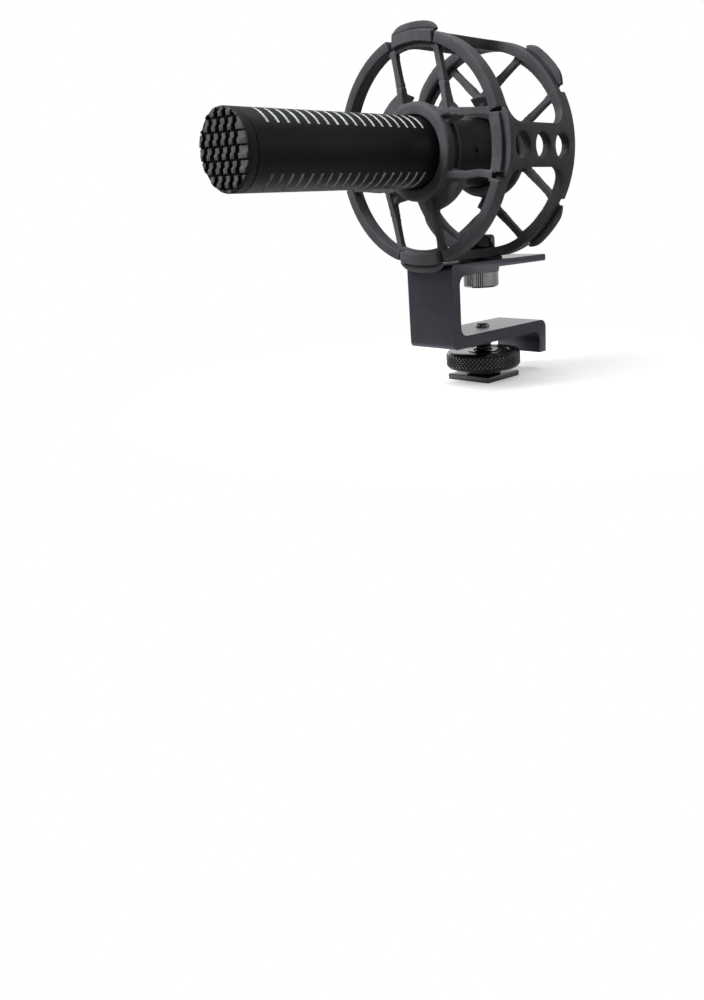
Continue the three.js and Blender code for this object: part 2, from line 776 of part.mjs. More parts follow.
// Foam, cloth liner and capsule with its rubber sleeve, from the front to the back
function acousticPieces() {
  const foamFront = blockHeight + capFace + seatGap;
  const foamRadius = tubeRadius - capWall - seatGap;
  const narrowRadius = bore - seatGap;
  const foam = turned([
    [0, foamFront],
    [Math.min(foamRadius, narrowRadius), foamFront],
    [Math.min(foamRadius, narrowRadius), foamFront + foamThickness],
    [0, foamFront + foamThickness],
  ]);
  const linerFront = foamFront + foamThickness + seatGap;
  const linerRear = capsuleFrontFromTip - seatGap - sleeveLip;
  const liner = turned([
    [narrowRadius - linerWall, linerFront],
    [narrowRadius, linerFront],
    [narrowRadius, linerRear],
    [narrowRadius - linerWall, linerRear],
  ]);
  const capsuleRear = capsuleFrontFromTip + capsuleLength;
  const holes = [];
  for (let k = 0; k < capsuleHoles; k += 1) {
    const angle = (k / capsuleHoles) * fullTurn;
    const circle = capsuleRadius * capsuleHoleCircleShare;
    holes.push(rodY(
      capsuleHoleDiameter / 2,
      capsuleFrontFromTip - overrun,
      capsuleFrontFromTip + capsuleHoleDepth,
      circle * Math.cos(angle),
      circle * Math.sin(angle),
      8,
    ));
  }
  const capsule = rodY(capsuleRadius, capsuleFrontFromTip, capsuleRear).subtract(joined(holes));
  const sleeve = turned([
    [capsuleRadius - sleeveLip, capsuleFrontFromTip - sleeveLip],
    [narrowRadius, capsuleFrontFromTip - sleeveLip],
    [narrowRadius, capsuleRear],
    [capsuleRadius + seatGap, capsuleRear],
    [capsuleRadius + seatGap, capsuleFrontFromTip - seatGap],
    [capsuleRadius - sleeveLip, capsuleFrontFromTip - seatGap],
  ]);
  return [
    named('front_foam', foam, 'foam'),
    named('cloth_liner', liner, 'liner'),
    named('capsule', capsule, 'steel'),
    named('capsule_sleeve', sleeve, 'foam'),
  ];
}

// Carrier, circuit board and what is soldered to it
function boardPieces() {
  const carrierFront = screwFromTip - carrierLength / 2;
  const carrierRear = screwFromTip + carrierLength / 2;
  const carrierRadius = bore - seatGap;
  const halfBoard = boardThickness / 2;
  const boardFront = carrierFront + seatGap;
  const boardRear = socketFront - seatGap;
  const sideGap = boardSlotGap;
  const slot = block(
    [-boardHalfWidth - sideGap, carrierFront - overrun, -halfBoard - sideGap],
    [boardHalfWidth + sideGap, carrierRear + overrun, halfBoard + sideGap],
  );
  const screwHole = rodX(
    screwDiameter / 2 + slipGap,
    screwEnd - seatGap,
    tubeRadius,
    screwFromTip,
    0,
    smallSides,
  );
  const halfChip = chipWidth / 2;
  const leadPass = block(
    [-leadOffset * 2, carrierFront - overrun, halfBoard],
    [leadOffset * 2, carrierRear + overrun, halfBoard + leadDiameter * 2 + seatGap],
  );
  const carrier = rodY(carrierRadius, carrierFront, carrierRear);
  const board = block([-boardHalfWidth, boardFront, -halfBoard], [boardHalfWidth, boardRear, halfBoard]);
  const chipFront = carrierRear + seatGap * 2;
  const room = boardRear - chipFront;
  const chip = block(
    [-halfChip, chipFront, halfBoard],
    [halfChip, chipFront + room * chipLengthShare, halfBoard + chipHeight],
  );
  const can = rodY(
    capacitorDiameter / 2,
    chipFront,
    chipFront + room * capacitorLengthShare,
    0,
    -halfBoard - capacitorDiameter / 2,
    smallSides,
  );
  return [
    named('board_carrier', carrier.subtract(joined([slot, screwHole, leadPass])), 'plastic'),
    named('circuit_board', board, 'board'),
    named('amplifier_chip', chip, 'plastic'),
    named('filter_capacitor', can, 'steel'),
  ];
}

// Two leads run from the capsule's back into the carrier and end on the board
function capsuleLeads() {
  const start = capsuleFrontFromTip + capsuleLength + slipGap;
  const end = screwFromTip + carrierLength / 2;
  const high = boardThickness / 2 + leadDiameter / 2 + slipGap;
  const section = new THREE.Shape();
  section.absarc(0, 0, leadDiameter / 2, 0, fullTurn, false);
  return [['red', 'redWire'], ['black', 'foam']].map(([word, finish], k) => {
    const x = (k * 2 - 1) * leadOffset / 2;
    const path = new THREE.CubicBezierCurve3(
      new THREE.Vector3(x * 2, start, high * 2),
      new THREE.Vector3(x * 2, (start + end) / 2, high * 2),
      new THREE.Vector3(x, (start + end) / 2, high),
      new THREE.Vector3(x, end, high),
    );
    const options = { steps: 10, bevelEnabled: false, extrudePath: path, curveSegments: 8 };
    return named(`capsule_lead_${word}`, solid(new THREE.ExtrudeGeometry(section, options)), finish);
  });
}

// The end plate with its spigot, and the jack socket in it
function rearPieces() {
  const plateFront = micLength - rearPlateThickness;
  const spigotRadius = bore - slipGap;
  const socketRadius = socketDiameter / 2;
  const hole = socketRadius + slipGap;
  const plate = turned([
    [hole, plateFront + seamGap],
    [hole, micLength],
    [tubeRadius - footChamfer, micLength],
    [tubeRadius, micLength - footChamfer],
    [tubeRadius, plateFront + seamGap],
    [spigotRadius, plateFront + seamGap],
    [spigotRadius, plateFront - rearSpigotLength],
    [spigotRadius - rearSpigotWall, plateFront - rearSpigotLength],
    [spigotRadius - rearSpigotWall, plateFront + seamGap],
  ]);
  const barrel = turned([
    [0, socketFront],
    [socketRadius, socketFront],
    [socketRadius, micLength + slipGap],
    [socketFlangeDiameter / 2, micLength + slipGap],
    [socketFlangeDiameter / 2, socketFlangeEnd],
    [socketBore / 2, socketFlangeEnd],
    [socketBore / 2, socketFlangeEnd - socketBoreDepth],
    [0, socketFlangeEnd - socketBoreDepth],
  ]);
  return [
    named('rear_plate', plate, 'housing'),
    named('jack_socket', barrel, 'gold'),
  ];
}

// The microphone is drawn about its own axis, with its tip at y = 0
function microphone() {
  const group = new THREE.Group();
  group.add(
    grilleCap(),
    housingTube(),
    housingScrew(),
    ...acousticPieces(),
    ...boardPieces(),
    ...capsuleLeads(),
    ...rearPieces(),
  );
  group.position.set(0, tip, axisHeight);
  return group;
}

const group = new THREE.Group();
group.add(...footPieces(), lockRing(), bracket(), ...cageFasteners(), thumbNut());

const cageMesh = cage();
cageMesh.position.set(0, cageFront, axisHeight);

const frontSpider = spider('front', ['top', 'right', 'bottom', 'left'], 0);
frontSpider.position.set(0, cageFront, axisHeight);

const rearSpider = spider('rear', ['upper_left', 'lower_left', 'lower_right', 'upper_right'], 1);
rearSpider.position.set(0, cageRear, axisHeight);
rearSpider.rotation.set(0, quarterTurn / 2, Math.PI, 'ZYX');

group.add(cageMesh, frontSpider, rearSpider, microphone());

export default group;
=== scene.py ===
import math

import bmesh
import bpy
from mathutils import Matrix, Vector


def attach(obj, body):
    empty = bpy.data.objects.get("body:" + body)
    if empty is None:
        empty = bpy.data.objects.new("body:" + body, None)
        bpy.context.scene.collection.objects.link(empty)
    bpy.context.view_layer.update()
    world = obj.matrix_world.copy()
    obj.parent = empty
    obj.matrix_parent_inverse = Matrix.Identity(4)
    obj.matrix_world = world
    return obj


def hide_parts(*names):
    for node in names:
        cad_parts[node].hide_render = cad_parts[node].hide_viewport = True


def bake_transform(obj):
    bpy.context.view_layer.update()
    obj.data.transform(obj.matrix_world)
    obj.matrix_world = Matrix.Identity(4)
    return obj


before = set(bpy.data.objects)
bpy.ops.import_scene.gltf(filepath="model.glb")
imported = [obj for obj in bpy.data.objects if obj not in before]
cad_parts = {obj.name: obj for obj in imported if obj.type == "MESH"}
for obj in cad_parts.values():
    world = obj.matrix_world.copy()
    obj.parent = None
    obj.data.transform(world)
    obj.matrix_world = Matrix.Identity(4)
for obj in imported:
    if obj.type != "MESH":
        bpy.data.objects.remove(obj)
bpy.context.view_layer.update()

# Every shape is drawn in millimetres, and finished() turns it to metres.
MM = 0.001

# Stations of the whole object, from the middle of the foot's underside
AXIS_Z = 75.7
CAGE_FRONT = -30.7
CAGE_REAR = 7.1
CAGE_LENGTH = CAGE_REAR - CAGE_FRONT
TIP = -102.3
TAIL = 10.7
ARM_BOTTOM = 14.2
ARM_TOP = 18.2
BRACKET_TOP = 41.4
BRACKET_FRONT = -26.9
BRACKET_REAR = 25.1

# Cage
RING_INNER = 31.0
RING_OUTER = 34.0
RING_MIDDLE = 32.5
RING_WIDTH = 4.7
NOTCH_DEPTH = 2.1
NOTCH_HALF = math.radians(17)
NOTCH_CORNER = 0.3
BAR_HALF = 6.1
BAR_FILLET = 5.5
HOLE_RADIUS = 3.7
HOLE_PITCH = 10.25
FIRST_HOLE = 10.2
SEAT_DISTANCE = 33.4

# Round parts that meet
TUBE_RADIUS = 10.5
STUD_RADIUS = 3.175
KNURL_RADIUS = 13.02
BOLT_HEAD_RADIUS = 5.1

# Room round a thread that passes freely, and round one that is held
FREE_GAP = 0.3
CLOSE_GAP = 0.1

# Points closer than this are one
WELD = 1e-4

AROUND_X = "X"
AROUND_Y = "Y"
AROUND_Z = "Z"

# A shape drawn flat in x and y, set upright in y and z
UPRIGHT = Matrix(((0, 0, 1, 0), (1, 0, 0, 0), (0, 1, 0, 0), (0, 0, 0, 1)))


# -------------------- shaping

def everything(bm):
    return bm.verts[:] + bm.edges[:] + bm.faces[:]


def only(kind, geometry):
    """The verts or the faces among what an operator has made."""
    return [element for element in geometry if isinstance(element, kind)]


# Each of these three gives back the shape that it moves
def moved(bm, x=0.0, y=0.0, z=0.0):
    bmesh.ops.translate(bm, vec=(x, y, z), verts=bm.verts)
    return bm


def rotated(bm, angle, axis):
    bmesh.ops.rotate(bm, matrix=Matrix.Rotation(angle, 3, axis), verts=bm.verts)
    return bm


def placed(bm, matrix):
    bmesh.ops.transform(bm, matrix=matrix, verts=bm.verts)
    return bm


def rounded_face(corners):
    """A flat face in x and y from (x, y, radius) corners, each rounded to its radius."""
    bm = bmesh.new()
    verts = [bm.verts.new((x, y, 0)) for x, y, _ in corners]
    bm.faces.new(verts)
    for k, (x, y, radius) in enumerate(corners):
        if not radius:
            continue
        here = Vector((x, y))
        before = Vector(corners[k - 1][:2]) - here
        after = Vector(corners[(k + 1) % len(corners)][:2]) - here
        half = before.angle(after) / 2
        bmesh.ops.bevel(
            bm,
            geom=[verts[k]],
            offset=radius / math.tan(half),
            offset_type="OFFSET",
            segments=max(2, round(2 + radius)),
            profile=0.5,
            affect="VERTICES",
            clamp_overlap=False,
            material=-1,
        )
    return bm


def extruded(corners, depth):
    """The flat face of some rounded corners, drawn up along z."""
    bm = rounded_face(corners)
    grown = bmesh.ops.extrude_face_region(bm, geom=bm.faces[:])["geom"]
    bmesh.ops.translate(bm, vec=(0, 0, depth), verts=only(bmesh.types.BMVert, grown))
    bmesh.ops.recalc_face_normals(bm, faces=bm.faces)
    return bm


def turned(corners, steps, axis):
    """A closed outline of (radius, station, rounding) corners spun about the axis."""
    bm = rounded_face(corners)
    bmesh.ops.delete(bm, geom=bm.faces[:], context="FACES_ONLY")
    on_axis = [e for e in bm.edges if all(abs(v.co.x) < 1e-6 for v in e.verts)]
    bmesh.ops.delete(bm, geom=on_axis, context="EDGES")
    if axis == AROUND_Z:
        rotated(bm, math.pi / 2, AROUND_X)
    bmesh.ops.spin(
        bm,
        geom=bm.verts[:] + bm.edges[:],
        cent=(0, 0, 0),
        axis=(0, 0, 1) if axis == AROUND_Z else (0, 1, 0),
        angle=math.tau,
        steps=steps,
        use_merge=True,
    )
    bmesh.ops.remove_doubles(bm, verts=bm.verts, dist=WELD)
    bmesh.ops.recalc_face_normals(bm, faces=bm.faces)
    return bm


def rod(radius, start, end, axis, sides, x=0.0, y=0.0, z=0.0):
    """A capped cylinder between two stations along an axis, moved by x, y and z."""
    bm = bmesh.new()
    bmesh.ops.create_cone(
        bm, cap_ends=True, segments=sides, radius1=radius, radius2=radius, depth=end - start
    )
    moved(bm, 0, 0, (start + end) / 2)
    if axis == AROUND_Y:
        rotated(bm, -math.pi / 2, AROUND_X)
    if axis == AROUND_X:
        rotated(bm, math.pi / 2, AROUND_Y)
    return moved(bm, x, y, z)


def sector(inner, outer, half_angle, front, back):
    """Part of a round band about Y, centred on +Z."""
    bm = bmesh.new()
    bmesh.ops.create_grid(bm, x_segments=1, y_segments=1, size=0.5)
    bmesh.ops.scale(bm, vec=(back - front, outer - inner, 1), verts=bm.verts)
    moved(bm, (back + front) / 2, (outer + inner) / 2, 0)
    placed(bm, Matrix.Rotation(-half_angle, 4, "Y") @ UPRIGHT)
    bmesh.ops.spin(
        bm,
        geom=everything(bm),
        cent=(0, 0, 0),
        axis=(0, 1, 0),
        angle=half_angle * 2,
        steps=16,
    )
    bmesh.ops.recalc_face_normals(bm, faces=bm.faces)
    return bm


def strut(stations):
    """A rectangular bar through (centre, half width in x, half thickness in y) stations."""
    bm = bmesh.new()
    bmesh.ops.create_grid(bm, x_segments=1, y_segments=1, size=1)
    centre, wide, thick = stations[0]
    bmesh.ops.scale(bm, vec=(wide, thick, 1), verts=bm.verts)
    moved(bm, *centre)
    end = bm.faces[:]
    for (c0, w0, t0), (c1, w1, t1) in zip(stations, stations[1:]):
        grown = bmesh.ops.extrude_face_region(bm, geom=end)["geom"]
        verts = only(bmesh.types.BMVert, grown)
        end = only(bmesh.types.BMFace, grown)
        bmesh.ops.translate(bm, vec=Vector(c1) - Vector(c0), verts=verts)
        about = Matrix.Translation(-Vector(c1))
        bmesh.ops.scale(bm, vec=(w1 / w0, t1 / t0, 1), space=about, verts=verts)
    bmesh.ops.recalc_face_normals(bm, faces=bm.faces)
    return bm


def cuboid(low, high):
    """A block between two opposite corners."""
    bm = bmesh.new()
    bmesh.ops.create_cube(bm, size=1)
    low, high = Vector(low), Vector(high)
    bmesh.ops.scale(bm, vec=high - low, verts=bm.verts)
    bmesh.ops.translate(bm, vec=(low + high) / 2, verts=bm.verts)
    return bm


def joined(shapes):
    """Several shapes in one mesh, still overlapping."""
    whole = bmesh.new()
    for shape in shapes:
        loose = bpy.data.meshes.new("loose")
        shape.to_mesh(loose)
        shape.free()
        whole.from_mesh(loose)
        bpy.data.meshes.remove(loose)
    return whole


def workpiece(bm):
    """A shape as an object of the scene, for modifiers to work on."""
    mesh = bpy.data.meshes.new("workpiece")
    bm.to_mesh(mesh)
    bm.free()
    obj = bpy.data.objects.new("workpiece", mesh)
    bpy.context.scene.collection.objects.link(obj)
    return obj


def settled(obj, *helpers):
    """The mesh that an object's modifiers give, with the object and its helpers gone."""
    bpy.context.view_layer.update()
    seen = obj.evaluated_get(bpy.context.evaluated_depsgraph_get())
    shaped = bpy.data.meshes.new_from_object(seen)
    bm = bmesh.new()
    bm.from_mesh(shaped)
    bpy.data.meshes.remove(shaped)
    for used in (obj, *helpers):
        mesh = used.data
        bpy.data.objects.remove(used)
        bpy.data.meshes.remove(mesh)
    return bm


def combined(bm, operation, tools):
    """A shape joined with, cut by or kept inside each of some others."""
    obj = workpiece(bm)
    helpers = [workpiece(tool) for tool in tools]
    for helper in helpers:
        change = obj.modifiers.new("combine", "BOOLEAN")
        change.object = helper
        change.operation = operation
        change.solver = "EXACT"
    return settled(obj, *helpers)


def moulded(bm, grain, passes):
    """One skin round overlapping shapes, with its corners and roots softened."""
    obj = workpiece(bm)
    skin = obj.modifiers.new("skin", "REMESH")
    skin.mode = "VOXEL"
    skin.voxel_size = grain
    soft = obj.modifiers.new("soft", "SMOOTH")
    soft.factor = 0.5
    soft.iterations = passes
    return settled(obj)


def softened(bm, width, segments, over, spare=None):
    """Bevels the edges that are sharper than an angle, apart from the spared ones."""
    bmesh.ops.recalc_face_normals(bm, faces=bm.faces)
    sharp = math.radians(over)
    edges = [
        e for e in bm.edges
        if e.is_manifold and e.calc_face_angle() > sharp and not (spare and spare(e))
    ]
    bmesh.ops.bevel(
        bm,
        geom=edges,
        offset=width,
        offset_type="OFFSET",
        segments=segments,
        profile=0.5,
        affect="EDGES",
        clamp_overlap=True,
        material=-1,
    )
    return bm


def finished(name, bm, finishes, body, replaced, crisp=38, even=False):
    """The piece as an object in metres, riding on its body in place of its CAD nodes.

    Edges over the crisp angle stay sharp. A leg has no body, because it's blended.
    """
    bmesh.ops.remove_doubles(bm, verts=bm.verts, dist=WELD)
    bmesh.ops.recalc_face_normals(bm, faces=bm.faces)
    for face in bm.faces:
        face.smooth = True
    for edge in bm.edges:
        edge.smooth = not edge.is_manifold or edge.calc_face_angle() < math.radians(crisp)
    bmesh.ops.scale(bm, vec=(MM, MM, MM), verts=bm.verts)
    mesh = bpy.data.meshes.new(name)
    bm.to_mesh(mesh)
    bm.free()
    for finish in finishes:
        mesh.materials.append(finish)
    piece = bpy.data.objects.new(name, mesh)
    bpy.context.scene.collection.objects.link(piece)
    if even:
        piece.modifiers.new("even_normals", "WEIGHTED_NORMAL").keep_sharp = True
    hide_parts(*replaced)
    if body:
        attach(piece, body)
    return piece


# -------------------- finishes

def linear(colour):
    """An sRGB hex colour as the linear values that a shader takes."""
    parts = [int(colour[k:k + 2], 16) / 255 for k in (1, 3, 5)]
    red, green, blue = (
        part / 12.92 if part <= 0.04045 else ((part + 0.055) / 1.055) ** 2.4 for part in parts
    )
    return red, green, blue, 1.0


def add(tree, kind, settings=None, values=None, links=None):
    """One node with its settings, fixed inputs and links."""
    new = tree.nodes.new(kind)
    for key, value in (settings or {}).items():
        setattr(new, key, value)
    for key, value in (values or {}).items():
        new.inputs[key].default_value = value
    for key, source in (links or {}).items():
        tree.links.new(source, new.inputs[key])
    return new


def emptied(owner):
    """The node tree of a new material or world, with nothing in it."""
    owner.use_nodes = True
    owner.node_tree.nodes.clear()
    return owner.node_tree


def surface(name, dark, light, rough, grain, depth, blotch=7.0, metallic=0.0, specular=0.5,
            edge_highlight=None):
    """A finish whose colour drifts from dark to light, with bumpy grain and maybe paler edges.

    rough is its lowest and highest roughness, grain and blotch are the sizes of its bumps and
    of its drift in mm, depth is the height of the bumps, and the last is a paler colour painted
    on its sharp edges as a painted highlight.
    """
    material = bpy.data.materials.new(name)
    tree = emptied(material)
    place = add(tree, "ShaderNodeTexCoord").outputs["Object"]
    drift = add(tree, "ShaderNodeTexNoise",
                values={"Scale": 1 / (blotch * MM), "Detail": 5.0, "Roughness": 0.62},
                links={"Vector": place})
    shade = add(tree, "ShaderNodeMapRange",
                values={"From Min": 0.35, "From Max": 0.65},
                links={"Value": drift.outputs["Fac"]})
    colour = add(tree, "ShaderNodeMix", {"data_type": "RGBA"},
                 {6: linear(dark), 7: linear(light)}, {0: shade.outputs["Result"]})
    # Painted highlight: edges that Pointiness finds sharp are painted a paler colour
    if edge_highlight:
        painted_edge_highlight = add(tree, "ShaderNodeMapRange", values={"From Min": 0.52, "From Max": 0.6},
                     links={"Value": add(tree, "ShaderNodeNewGeometry").outputs["Pointiness"]})
        colour = add(tree, "ShaderNodeMix", {"data_type": "RGBA"}, {7: linear(edge_highlight)},
                     {0: painted_edge_highlight.outputs["Result"], 6: colour.outputs[2]})
    fine = add(tree, "ShaderNodeTexNoise",
               values={"Scale": 1 / (grain * MM), "Detail": 3.0, "Roughness": 0.55},
               links={"Vector": place})
    gloss = add(tree, "ShaderNodeMapRange",
                values={"From Min": 0.3, "From Max": 0.7, "To Min": rough[0], "To Max": rough[1]},
                links={"Value": fine.outputs["Fac"]})
    relief = add(tree, "ShaderNodeBump",
                 values={"Strength": 1.0, "Distance": depth * MM},
                 links={"Height": fine.outputs["Fac"]})
    shader = add(tree, "ShaderNodeBsdfPrincipled",
                 values={"Metallic": metallic, "Specular IOR Level": specular},
                 links={"Base Color": colour.outputs[2], "Roughness": gloss.outputs["Result"],
                        "Normal": relief.outputs["Normal"]})
    add(tree, "ShaderNodeOutputMaterial", links={"Surface": shader.outputs["BSDF"]})
    return material


def opened(material):
    """A finish's tree, its shader, and Object coordinates to lay a pattern by."""
    tree = material.node_tree
    place = add(tree, "ShaderNodeTexCoord").outputs["Object"]
    return tree, tree.nodes["Principled BSDF"], place


def painted_over(tree, shader, colour, share):
    """Lays a colour over a shader's own, as much as a pattern says."""
    base = shader.inputs["Base Color"]
    mixed = add(tree, "ShaderNodeMix", {"data_type": "RGBA"}, {7: linear(colour)},
                {0: share, 6: base.links[0].from_socket})
    tree.links.new(mixed.outputs[2], base)


def grille_finish():
    """Blasted grey metal that darkens to black with depth behind its face: painted shade in the
    grooves.
    """
    material = surface("blasted_grille", "#363538", "#565458", (0.55, 0.75), 0.3, 0.06,
                       blotch=1.2, specular=0.2)
    tree, shader, place = opened(material)
    # Painted shade: from 0.3 mm to 0.8 mm behind the tip the colour falls to black
    station = add(tree, "ShaderNodeSeparateXYZ", links={"Vector": place})
    deep = add(tree, "ShaderNodeMapRange",
               values={"From Min": (TIP + 0.3) * MM, "From Max": (TIP + 0.8) * MM},
               links={"Value": station.outputs["Y"]})
    painted_over(tree, shader, "#0b0b0c", deep.outputs["Result"])
    return material


def lock_ring_finish():
    """Black anodised aluminium whose knurl tips are painted a paler grey as painted glints."""
    material = surface("anodised_aluminium_lock_ring", "#141416", "#232327", (0.2, 0.32), 0.2,
                       0.006, metallic=0.7)
    tree, shader, place = opened(material)
    # Painted highlight: the knurl's outermost tips, found by distance from the axis, are painted
    # paler
    level = add(tree, "ShaderNodeVectorMath", {"operation": "MULTIPLY"}, {1: (1, 1, 0)},
                {0: place})
    reach = add(tree, "ShaderNodeVectorMath", {"operation": "LENGTH"},
                links={0: level.outputs["Vector"]})
    painted_glints = add(tree, "ShaderNodeMapRange",
                 values={"From Min": (KNURL_RADIUS + 0.13) * MM,
                         "From Max": (KNURL_RADIUS + 0.27) * MM},
                 links={"Value": reach.outputs["Value"]})
    painted_over(tree, shader, "#8b8982", painted_glints.outputs["Result"])
    return material


def cloth_finish():
    """Fine white acoustic cloth, plain woven, drawn coarser than real at 0.35 mm a thread."""
    thread = 0.35 * MM
    material = surface("acoustic_cloth", "#cfcfcd", "#efefec", (0.85, 0.95), 0.3, 0.02, blotch=2.0)
    tree, shader, place = opened(material)
    weave = [
        add(tree, "ShaderNodeTexWave", {"bands_direction": direction},
            {"Scale": 1 / thread / math.tau, "Distortion": 0.4}, {"Vector": place})
        for direction in ("Y", "Z")
    ]
    cross = add(tree, "ShaderNodeMath", {"operation": "MULTIPLY"},
                links={0: weave[0].outputs["Fac"], 1: weave[1].outputs["Fac"]})
    relief = add(tree, "ShaderNodeBump", values={"Strength": 0.8, "Distance": 0.05 * MM},
                 links={"Height": cross.outputs[0]})
    tree.links.new(relief.outputs["Normal"], shader.inputs["Normal"])
    return material


def board_finish():
    """Green solder mask over copper tracks 0.8 mm apart, which show paler through it."""
    track = 0.8 * MM
    material = surface("solder_mask", "#174a2b", "#1f5f38", (0.3, 0.42), 0.4, 0.01)
    tree, shader, place = opened(material)
    tracks = add(tree, "ShaderNodeTexWave", {"bands_direction": "X"},
                 {"Scale": 1 / track / math.tau, "Distortion": 3.0, "Detail Scale": 400.0},
                 {"Vector": place})
    thin = add(tree, "ShaderNodeMapRange", values={"From Min": 0.8, "From Max": 0.86},
               links={"Value": tracks.outputs["Fac"]})
    painted_over(tree, shader, "#2f7a4a", thin.outputs["Result"])
    return material


# Glass-filled nylon, moulded: a mid grey with a dry grain, drawn at twice its real size
# Its sharp edges carry a painted highlight in a paler grey
cage_nylon = surface("moulded_nylon_cage", "#353438", "#444347", (0.5, 0.66), 0.5, 0.05,
                     specular=0.25, edge_highlight="#605e63")
# Soft rubber, moulded: slightly lighter and duller than the cage, with grain as coarse
spider_rubber = surface("moulded_rubber_spider", "#464549", "#565559", (0.6, 0.76), 0.45, 0.045,
                        specular=0.2)
# Rubber cut from sheet: plain dull black
washer_rubber = surface("cut_rubber_washer", "#19191a", "#232324", (0.7, 0.85), 0.3, 0.02)
# Aluminium, bead-blasted and anodised: cool dark grey that mirrors softly at a low angle
# Its sharp edges carry a painted highlight in a paler grey
anodised = surface("anodised_aluminium_bracket", "#24262e", "#2d3039", (0.28, 0.38), 0.16, 0.006,
                   metallic=0.6, edge_highlight="#5d5e66")
# Steel, oxide-blackened: nearly black with an oily gloss
# Its sharp edges carry a painted highlight in a paler grey
black_steel = surface("blackened_steel", "#131315", "#1f1f22", (0.16, 0.28), 0.3, 0.006,
                      metallic=0.8, edge_highlight="#58575a")
# Steel, phosphated: so dull a black that the side screw hardly shows
dull_black = surface("phosphated_steel_screw", "#101011", "#1a1a1b", (0.55, 0.7), 0.2, 0.006,
                     specular=0.2)
# Nickel plate over the turned nut: bright, neutral and sharply mirrored
nickel = surface("nickel_plate", "#a09f9f", "#b2b1b1", (0.16, 0.26), 0.4, 0.006, metallic=1.0)
# Zinc plate of the stud: a dull metal, a little yellow, painted darker than bare zinc for the shade
# under the arm: painted shade
zinc = surface("zinc_plate", "#55534c", "#716e66", (0.26, 0.4), 0.3, 0.008, metallic=1.0)
# Aluminium tube, anodised: matte black, nearly neutral with a cold cast
housing = surface("anodised_tube", "#0c0f0f", "#131616", (0.4, 0.52), 0.12, 0.006, specular=0.12)
# Aluminium sawn after the anodising: bare and almost white in the slots
sawn = surface("sawn_aluminium", "#c9cbcd", "#eceeef", (0.3, 0.5), 0.15, 0.01, metallic=0.2)
# Open-cell foam: deep black with coarse pores
foam = surface("open_foam", "#0c0c0d", "#1a1a1c", (0.9, 1.0), 0.5, 0.15, blotch=0.6)
# Satin aluminium of the capsule and the capacitor's can: pale and softly mirrored
capsule_metal = surface("satin_aluminium_can", "#b4b5b7", "#cfd0d2", (0.3, 0.42), 0.2, 0.006,
                        metallic=1.0)
# ABS of the carrier and the chip, moulded: black with a faint sheen
black_plastic = surface("moulded_black_plastic", "#1d1d1f", "#28282a", (0.45, 0.6), 0.25, 0.012)
# Gold plate of the socket: a deep yellow mirror
gold = surface("gold_plate", "#b98f3c", "#d8b060", (0.2, 0.34), 0.25, 0.005, metallic=1.0)
# PVC insulation of the leads: smooth, with a plain sheen
red_wire = surface("red_wire_insulation", "#8f1a1a", "#b02626", (0.4, 0.55), 0.3, 0.006)
black_wire = surface("black_wire_insulation", "#101011", "#1b1b1d", (0.4, 0.55), 0.3, 0.006)

grille_black = grille_finish()
ring_black = lock_ring_finish()
acoustic_cloth = cloth_finish()
solder_mask = board_finish()


# -------------------- cage

WRAP_DEGREES = 3
SEAM_WELD = 0.01


def cage_shell():
    """A quarter is cut flat, beveled, wrapped round the axis and repeated four times."""
    quarter = math.pi / 4 * RING_MIDDLE
    notch = NOTCH_HALF * RING_MIDDLE
    heel = quarter - notch
    far = CAGE_LENGTH - RING_WIDTH
    rear_notch = CAGE_LENGTH - NOTCH_DEPTH
    right = [
        (notch, NOTCH_DEPTH, NOTCH_CORNER), (notch, 0, 0), (quarter, 0, 0),
        (quarter, RING_WIDTH, 0), (BAR_HALF, RING_WIDTH, BAR_FILLET),
        (BAR_HALF, far, BAR_FILLET), (quarter, far, 0), (quarter, rear_notch, 0),
        (heel, rear_notch, NOTCH_CORNER), (heel, CAGE_LENGTH, 0),
    ]
    left = [(-x, y, radius) for x, y, radius in reversed(right)]
    plate = extruded(right + left, RING_OUTER - RING_INNER)
    holes = [
        rod(HOLE_RADIUS, -2, 6, AROUND_Z, 44, y=FIRST_HOLE + k * HOLE_PITCH) for k in range(3)
    ]
    plate = combined(plate, "DIFFERENCE", holes)

    def at_seam(element):
        return all(abs(abs(v.co.x) - quarter) < 1e-3 for v in element.verts)

    softened(plate, width=0.45, segments=3, over=40, spare=at_seam)
    bmesh.ops.delete(plate, geom=[f for f in plate.faces if at_seam(f)], context="FACES_ONLY")

    # Cut across at even angles, so that it bends evenly
    cuts = 45 // WRAP_DEGREES
    for k in range(1 - cuts, cuts):
        bmesh.ops.bisect_plane(
            plate,
            geom=everything(plate),
            dist=WELD,
            plane_co=(math.radians(WRAP_DEGREES * k) * RING_MIDDLE, 0, 0),
            plane_no=(1, 0, 0),
        )
    bmesh.ops.triangulate(plate, faces=[f for f in plate.faces if len(f.verts) > 4])
    for v in plate.verts:
        angle = v.co.x / RING_MIDDLE
        radius = RING_INNER + v.co.z
        v.co = (radius * math.sin(angle), v.co.y, radius * math.cos(angle))
    bmesh.ops.spin(
        plate,
        geom=everything(plate),
        cent=(0, 0, 0),
        axis=(0, 1, 0),
        angle=math.pi * 1.5,
        steps=3,
        use_duplicate=True,
    )
    bmesh.ops.remove_doubles(plate, verts=plate.verts, dist=SEAM_WELD)

    # The lowest bar is flat underneath on its washer, and flat inside under the bolt's head
    for v in plate.verts:
        from_bolt = math.hypot(v.co.x, v.co.y + CAGE_FRONT)
        if v.co.z < -SEAT_DISTANCE:
            v.co.z = -SEAT_DISTANCE
        elif -RING_INNER - 0.5 < v.co.z < -RING_INNER + 2 and from_bolt < BOLT_HEAD_RADIUS:
            v.co.z = -RING_INNER
    return moved(plate, 0, CAGE_FRONT, AXIS_Z)


finished("cage_shell", cage_shell(), [cage_nylon], "cage", ["cage"])


# -------------------- rubber spiders

